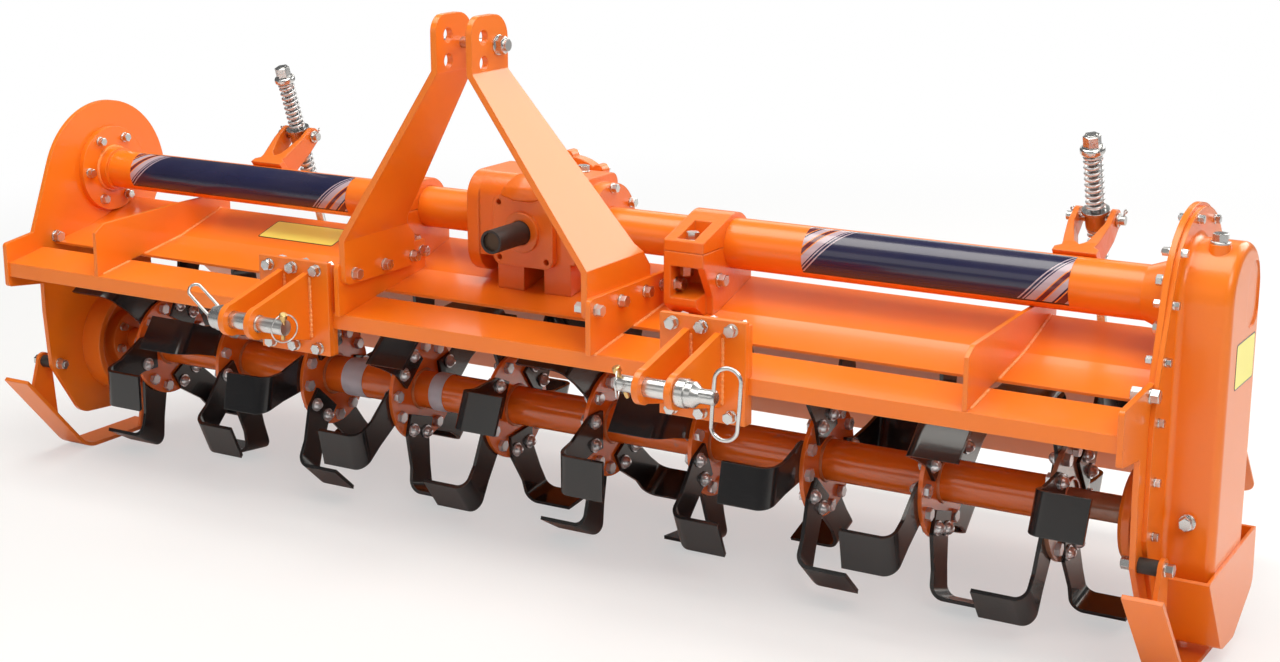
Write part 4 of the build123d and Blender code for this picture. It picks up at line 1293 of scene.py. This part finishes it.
@dataclass
class CrossTubeDetail(Assembly):
    """Bands, end flange bolts, weld ring and clamp bolts of the cross tube."""

    bands: tuple[Triple, ...] = ((-1.085, -0.509, 0.0402), (0.502, 0.986, 0.0462))  # both ends and radius
    band_t: float = 0.0005
    flange_rings: Spot = (0.072, 0.077)  # radius of the left and the right ring of bolts
    flange_count: int = 6
    flange_flats: float = 0.0165
    weld: Spot = (0.047, 0.0038)  # radius, and half its width
    clamp_w: float = 0.080
    clamp_flats: float = 0.021
    clamp_stub: float = 0.010
    # where the lines that find the clamps' bolts start, with x from each clamp's left side
    cap_bolt: Spot = (0.040, -0.086)
    window_bolt: Triple = (0.040, -0.098, 0.545)
    window_nut: Triple = (0.034, -0.096, 0.560)
    side_bolt: Triple = (0.5, -0.062, 0.552)

    def build(self) -> None:
        """Make the bands, the bolts and the weld ring."""
        for index, band in enumerate(self.bands, 1):
            self.make_band(f"tube_band_{index}", *band)
        self.make_flange_bolts()
        self.make_clamp_bolts()
        _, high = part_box("left_tube_flange")
        ring = torus(*self.weld, 48, rotation=ALONG_X, location=(high.x + 0.001, 0, TUBE_Z))
        lay("left_tube_weld", [ring.take(ROUND)], WELD_ORANGE)

    def make_band(self, name: str, start: float, end: float, radius: float) -> None:
        """Wrap one printed band round the tube's front.

        Args:
            name: its name.
            start: its left end.
            end: its right end.
            radius: radius of the tube under it.
        """
        low, high = BAND_ANGLES
        band = sleeve(start, end, radius, TUBE_Z, 120)
        band.faces(lambda c, n: not low < math.degrees(math.atan2(c.z - TUBE_Z, -c.y)) < high)
        band.run("mesh.delete", type="FACE").modify("SOLIDIFY", thickness=self.band_t, offset=1.0)
        lay(name, [band.take(40.0)], NavyBand(f"{name}_print", start=start, end=end))

    def make_flange_bolts(self) -> None:
        """Bolt both end flanges to the side plates."""
        left, right = (circle(radius, self.flange_count, TUBE_Z, first)
                       for radius, first in zip(self.flange_rings, (0, 30)))
        heads = Probe("left_tube_flange").across(-1.0, -1, left)
        heads += Probe("right_tube_flange").across(1.0, 1, right)
        lay("tube_flange_bolts", self.fasteners.bolts(self.flange_flats, heads))
        backs = Probe("left_side_plate").across(-CLEAR, 1, left)
        lay("tube_flange_nuts", spread(self.fasteners.nut(self.flange_flats), backs, 20))

    def make_clamp_bolts(self) -> None:
        """Put the bolts into the clamps' pockets, windows and sides."""
        caps, feet = Probe("clamp_caps"), Probe("clamp_feet")
        low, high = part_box("clamp_caps")
        heads, backs = [], []
        for start in (low.x, high.x - self.clamp_w):
            edge = Vector((start, 0, 0))
            heads += [caps.down(start + self.cap_bolt[0], self.cap_bolt[1]),
                      feet.hit(edge + Vector(self.window_bolt), (-1, 0, 0)),
                      feet.hit(edge + Vector(self.side_bolt), (-1, 0, 0))]
            backs.append(feet.hit(edge + Vector(self.window_nut), (0, 0, 1)))
        lay("clamp_bolts", self.fasteners.bolts(self.clamp_flats, heads))
        lay("clamp_nuts", spread(self.fasteners.nut(self.clamp_flats, self.clamp_stub), backs))


# ---- gearbox and gear case --------------------------------------------------------------------------
@dataclass
class GearboxDetail(Assembly):
    """Bolts and plug of the middle gearbox, and the web over its front cover."""

    cover_z: float = 0.630
    cover_ring: float = 0.092
    lowest_bolt: float = 0.56
    side_ring: float = 0.076
    bolt_flats: float = 0.015
    plug_place: Spot = (0.055, 0.020)
    plug: Spot = (0.021, 0.010)  # width across flats and height
    web: Triple = (0.096, 0.026, 0.016)
    web_up: Spot = (-0.002, 0.008)  # its middle, along Y and up from the front cover's upper rear edge
    web_top: Triple = (0.42, 0.6, 1.0)  # size of its top, as shares of its foot
    web_rise: Triple = (0.0, 0.014, 0.022)

    def build(self) -> None:
        """Bolt the rear cover and both side flanges, and add the plug and the web."""
        rear, housing = Probe("gearbox_rear_cover"), Probe("gearbox_housing")
        heads = [rear.hit((MACHINE_X + x, 1.0, z), (0, -1, 0))
                 for x, z in circle(self.cover_ring, 8, self.cover_z, 4) if z > self.lowest_bolt]
        for way in (-1, 1):
            met = housing.across(MACHINE_X + way, -way, circle(self.side_ring, 6, TUBE_Z, 30))
            heads += [m for m in met if m and abs(m[1].x) > FLAT]
        lay("gearbox_bolts", self.fasteners.bolts(self.bolt_flats, heads))
        top = [housing.down(MACHINE_X + self.plug_place[0], self.plug_place[1])]
        lay("gearbox_oil_plug", spread(self.fasteners.bolt(*self.plug), top, first=12))
        self.make_web()

    def make_web(self) -> None:
        """Cast the web that runs from the front cover's top up to the housing's crown."""
        _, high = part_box("gearbox_front_cover")
        place = (MACHINE_X, high.y + self.web_up[0], high.z + self.web_up[1])
        web = Piece("cube", size=1.0, location=place, scale=self.web)
        web.top().resize(*self.web_top).shift(*self.web_rise)
        web.every().run("mesh.subdivide", number_cuts=2, smoothness=0.6)
        web.modify("BEVEL", width=0.002, segments=2, limit_method="ANGLE", angle_limit=math.radians(30))
        lay("gearbox_front_web", [web.take(40.0)], ORANGE_CAST)


@dataclass
class GearCaseDetail(Assembly):
    """Bolts, plugs and label of the side gear case."""

    rim_bolts: tuple[Spot, ...] = (
        # (y, z) along the rim, from its top down the front, then down the rear
        (-0.005, 0.738), (-0.086, 0.698), (-0.114, 0.620), (-0.138, 0.534), (-0.157, 0.440),
        (-0.158, 0.343), (-0.149, 0.250), (0.090, 0.722), (0.147, 0.650), (0.120, 0.540),
        (0.0945, 0.440), (0.0945, 0.343), (0.0945, 0.250))
    rim_flats: float = 0.0125
    rim_stub: float = 0.005
    large_bolt: Spot = (-0.181, 0.489)
    large_flats: float = 0.021
    large_stub: float = 0.009
    filler: Triple = (1.225, -0.035, 0.024)  # x, y and width across flats
    drain: Triple = (1.219, 0.263, 0.021)  # x, z and width across flats
    plug_washer_t: float = 0.003
    plug_shares: Spot = (0.68, 0.55)  # radius of the washer and height of the head, of the width across flats
    label: Edges = (-0.040, 0.068, 0.474, 0.550)  # y of its sides, z of its bottom and top

    def build(self) -> None:
        """Bolt the case's rim, screw in its plugs and stick its label on."""
        case, wall, large = Probe("gear_case"), Probe("gear_plate"), [self.large_bolt]
        lay("gear_case_bolts", self.fasteners.bolts(self.rim_flats, case.across(CLEAR, -1, self.rim_bolts)))
        heads = Probe("gear_case", "gear_plate").across(CLEAR, -1, large)
        lay("gear_plate_large_bolt", spread(self.fasteners.bolt(self.large_flats), heads, first=10))
        nuts = spread(self.fasteners.nut(self.large_flats, self.large_stub), wall.across(1.0, 1, large))
        backs = wall.across(1.0, 1, self.rim_bolts)
        nuts += spread(self.fasteners.nut(self.rim_flats, self.rim_stub), backs, 20)
        lay("gear_plate_nuts", nuts)
        self.make_plugs()
        y0, y1, z0, z1 = self.label
        point, normal = case.hit((CLEAR, (y0 + y1) / 2, (z0 + z1) / 2), (-1, 0, 0))
        stick_label("gear_case_label", point, normal, (y1 - y0, z1 - z0))

    def make_plugs(self) -> None:
        """Screw in the filler and drain plugs."""
        case = Probe("gear_case")
        x, y, wide = self.filler
        top = case.down(x, y)[0]
        x, z, narrow = self.drain
        front = case.hit((x, -1.0, z), (0, 1, 0))[0]
        parts = []
        for point, axis, flats in ((top, (0, 0, 1), wide), (front, (0, -1, 0), narrow)):
            radius, height = (flats * share for share in self.plug_shares)
            washer = self.fasteners.washer(radius, self.plug_washer_t)
            head = self.fasteners.hexagon(flats, height, self.plug_washer_t, both=False)
            parts += [moved(washer, at(point, axis)), moved(head, at(point, axis, 8))]
        lay("gear_case_plugs", parts)


# ---- side plates, hubs and skids --------------------------------------------------------------------
@dataclass
class SideDetail(Assembly):
    """Bolts that hold the hubs, the skids and the beam to the side plates."""

    hub_ring: float = 0.047
    drum_ring: float = 0.0965
    hub_flats: float = 0.0145
    beam_bolt: Spot = (-0.168, 0.487)  # y and z
    beam_flats: float = 0.021
    # y and z of each lug's bolt, and how far beside it the lug's face is met
    lugs: tuple[Triple, ...] = ((-0.184, 0.212, 0.012), (0.088, 0.090, 0.011))
    skid_flats: float = 0.019
    skid_stub: float = 0.009

    def build(self) -> None:
        """Bolt the hubs, the skids and the beam."""
        left, right = circle(self.hub_ring, 6, ROTOR_Z, 15), circle(self.drum_ring, 8, ROTOR_Z, 10)
        heads = Probe("left_hub").across(-1.05, -1, left) + Probe("right_hub").across(1.0, 1, right)
        lay("hub_bolts", self.fasteners.bolts(self.hub_flats, heads))
        self.make_skid_bolts()
        wall = Probe("left_side_plate")
        heads = wall.across(-1.0, -1, [self.beam_bolt]) + wall.across(-CLEAR, 1, [self.beam_bolt])
        lay("left_beam_bolts", self.fasteners.bolts(self.beam_flats, heads))

    def make_skid_bolts(self) -> None:
        """Bolt both skids, each lug's face met a little beside its hole, with nuts inside the side plates."""
        heads, backs = [], []
        for way, skid, side in ((-1, "left_skid", "left_side_plate"), (1, "right_skid", "gear_plate")):
            outer, inner = Probe(skid), Probe(side)
            for y, z, beside in self.lugs:
                face = outer.hit((way * CLEAR, y + beside, z), (-way, 0, 0))[0]
                heads.append((Vector((face.x, y, z)), Vector((way, 0, 0))))
                face = inner.hit((way, y, z), (way, 0, 0))[0]
                backs.append((Vector((face.x, y, z)), Vector((-way, 0, 0))))
        lay("skid_bolts", self.fasteners.bolts(self.skid_flats, heads))
        lay("skid_nuts", spread(self.fasteners.nut(self.skid_flats, self.skid_stub), backs, first=15))


# ---- rotor ------------------------------------------------------------------------------------------
@dataclass
class RotorDetail(Assembly):
    """Bolts of the tines, weld rings of the flanges and the two pale bands on the rotor's tube."""

    tine_out: float = 0.104
    flange_count: int = 10
    flange_half: float = 0.004
    tine_t: float = 0.007
    helix_start: float = -30.0
    helix_step: float = 24.0
    tines_per_side: int = 3
    bolt_place: Spot = (0.0228, 0.085)  # to the side, and out from the rotor's axis
    bolt_r: float = 0.0112
    nut_flats: float = 0.02128
    nut_t: float = 0.009
    tube_r: float = 0.038
    weld_r: float = 0.0036
    weld_out: float = 0.001  # how far the weld's middle lies out of the tube and of the flange
    band_t: float = 0.0006
    bands: tuple[Spot, ...] = ((-0.537, -0.485), (-0.318, -0.286))  # both ends

    def flanges(self) -> list[float]:
        """Give the middles of the flanges along the rotor."""
        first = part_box("left_hand_tines")[0].x + self.tine_out
        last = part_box("right_hand_tines")[1].x - self.tine_out
        return steps(first, last, self.flange_count - 1)

    def build(self) -> None:
        """Bolt the tines, weld the flanges' both faces to the tube and band the tube."""
        self.make_bolts()
        ring = torus(self.tube_r + self.weld_out, self.weld_r, 40, rotation=ALONG_X).take(ROUND)
        rings = [moved(ring, Matrix.Translation((x + way * (self.flange_half + self.weld_out), 0, ROTOR_Z)))
                 for x in self.flanges() for way in (-1, 1)]
        lay("rotor_welds", rings, WELD_ROTOR, Body.ROTOR)
        bands = []
        for start, end in self.bands:
            band = sleeve(start, end, self.tube_r + self.band_t / 2, ROTOR_Z, 64)
            bands.append(band.modify("SOLIDIFY", thickness=self.band_t, offset=1.0).take(40.0))
        lay("rotor_tube_bands", bands, PALE_BAND, Body.ROTOR)

    def make_bolts(self) -> None:
        """Put two bolts through each tine's root, with nuts on the flange's other face."""
        head, nut = self.fasteners.domed(self.bolt_r), self.fasteners.hexagon(self.nut_flats, self.nut_t, 0.0)
        side, out = self.bolt_place
        heads, nuts = [], []
        for index, x in enumerate(self.flanges()):
            for way, lag in ((1, 0), (-1, 60)):
                root = way * (self.flange_half + self.tine_t)
                for k in range(self.tines_per_side):
                    turn = self.helix_start + index * self.helix_step + k * 120 + lag
                    spin = Matrix.Translation((x, 0, ROTOR_Z)) @ turned(turn, "X")
                    for y in (-side, side):
                        back = (-way * self.flange_half, y, out)
                        heads.append(moved(head, spin @ at((root, y, out), (way, 0, 0))))
                        nuts.append(moved(nut, spin @ at(back, (-way, 0, 0), 10)))
        lay("tine_bolts", heads, DARK_BOLT, Body.ROTOR)
        lay("tine_nuts", nuts, DARK_BOLT, Body.ROTOR)


# ---- studio -----------------------------------------------------------------------------------------
@dataclass(frozen=True)
class Lamp:
    """A rectangular lamp that hangs at a place and faces a point."""

    name: str
    place: Triple
    aim: Triple
    width: float
    height: float
    watts: float

    def hang(self, colour: Triple) -> None:
        """Make the lamp.

        Args:
            colour: the colour of its light.
        """
        light = bpy.data.lights.new(self.name, "AREA")
        light.shape = "RECTANGLE"
        light.size = self.width
        light.size_y = self.height
        light.energy = self.watts
        light.color = colour
        holder = linked(self.name, light)
        holder.location = self.place
        holder.rotation_euler = (Vector(self.aim) - Vector(self.place)).to_track_quat("-Z", "Y").to_euler()


@dataclass
class Studio:
    """Floor, lamps, world and camera."""

    floor_size: float = 60.0
    floor_colour: Triple = (0.86, 0.86, 0.86)
    floor_roughness: float = 0.7
    floor_specular: float = 0.2
    fade: Edges = (1.4, 4.5, 0.50, 1.0)  # where it starts and ends, and how white it is there
    lens: float = 58.52
    camera_place: Triple = (2.0658, -3.2425, 1.392)
    azimuth: float = 30.6
    elevation: float = 14.5
    world_level: float = 0.29
    mirror_drop: float = 0.14
    lamp_colour: Triple = (1.0, 0.965, 0.90)
    lamps: tuple[Lamp, ...] = (
        Lamp("key", (3.6, -2.6, 3.6), (0.1, -0.1, 0.4), 2.6, 2.0, 84.0),
        Lamp("overhead", (0.0, -0.6, 3.6), (0.0, 0.0, 0.4), 4.2, 2.2, 128.0),
        Lamp("front", (-1.8, -4.6, 2.0), (0.0, 0.0, 0.4), 3.2, 2.0, 18.0),
        Lamp("rear", (-1.5, 3.4, 2.6), (0.0, 0.0, 0.5), 3.0, 1.4, 24.0),
        Lamp("rear_right", (1.9, 3.6, 2.9), (0.1, 0.0, 0.6), 2.8, 2.6, 110.0))

    def build(self) -> None:
        """Make the floor, the world, the lamps and the camera."""
        self.make_floor()
        self.make_world()
        for lamp in self.lamps:
            lamp.hang(self.lamp_colour)
        self.make_camera()

    def make_floor(self) -> None:
        """Make a pale floor that fades to white away from the machine."""
        bpy.ops.mesh.primitive_plane_add(size=self.floor_size, location=(0, 0, 0))
        floor = bpy.context.object
        floor.name = "floor"
        material = bpy.data.materials.new("pale_floor")
        material.use_nodes = True
        graph = Graph(material.node_tree)
        nodes = material.node_tree.nodes
        shader = nodes["Principled BSDF"]
        for label, value in (("Base Color", self.floor_colour), ("Roughness", self.floor_roughness),
                             ("Specular IOR Level", self.floor_specular)):
            graph.fill(shader.inputs[label], value)
        white = graph.add("Emission", in_Strength=1.0, in_Color=(1.0, 1.0, 1.0))
        length = graph.add("VectorMath", operation="LENGTH", in_Vector=graph.coordinates()).outputs["Value"]
        near, far, least, most = self.fade
        fade = graph.add("MapRange", interpolation_type="SMOOTHSTEP", in_Value=length, in_From_Min=near,
                         in_From_Max=far, in_To_Min=least, in_To_Max=most).outputs["Result"]
        share = graph.math("MULTIPLY", fade, graph.add("LightPath").outputs["Is Camera Ray"])
        blend = graph.add("MixShader", in_Fac=share)
        graph.fill(blend.inputs[1], shader.outputs[0])
        graph.fill(blend.inputs[2], white.outputs[0])
        graph.fill(nodes["Material Output"].inputs["Surface"], blend.outputs[0])
        floor.data.materials.append(material)

    def make_world(self) -> None:
        """Make a dim world that looks white to the camera and dimmer still in reflections."""
        world = bpy.data.worlds.new("studio")
        bpy.context.scene.world = world
        world.use_nodes = True
        graph = Graph(world.node_tree)
        seen = graph.add("LightPath").outputs
        mirrored = graph.math("ADD", seen["Is Glossy Ray"], seen["Is Transmission Ray"])
        level = graph.math("SUBTRACT", self.world_level, graph.math("MULTIPLY", mirrored, self.mirror_drop))
        background = world.node_tree.nodes["Background"].inputs
        graph.fill(background["Color"], (1.0, 1.0, 1.0))
        graph.fill(background["Strength"], graph.math("MAXIMUM", level, seen["Is Camera Ray"]))

    def make_camera(self) -> None:
        """Make the camera."""
        camera = bpy.data.cameras.new("camera")
        camera.lens = self.lens
        camera.clip_end = 200.0
        holder = linked("camera", camera)
        holder.location = self.camera_place
        holder.rotation_euler = (math.radians(90 - self.elevation), 0, math.radians(self.azimuth))
        bpy.context.scene.camera = holder
        bpy.context.scene.view_settings.view_transform = "Standard"


def main() -> None:
    """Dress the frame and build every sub-assembly."""
    logging.basicConfig(level=logging.INFO)
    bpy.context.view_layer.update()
    dress_nodes()
    fasteners = Fasteners()
    for side in ("left", "right"):
        SpringRod(fasteners, side).build()
    for kind in (HitchPins, HoodDetail, MastDetail, CrossTubeDetail, GearboxDetail, GearCaseDetail,
                 SideDetail, RotorDetail):
        kind(fasteners).build()
    Studio().build()


if __name__ == "__main__":
    main()
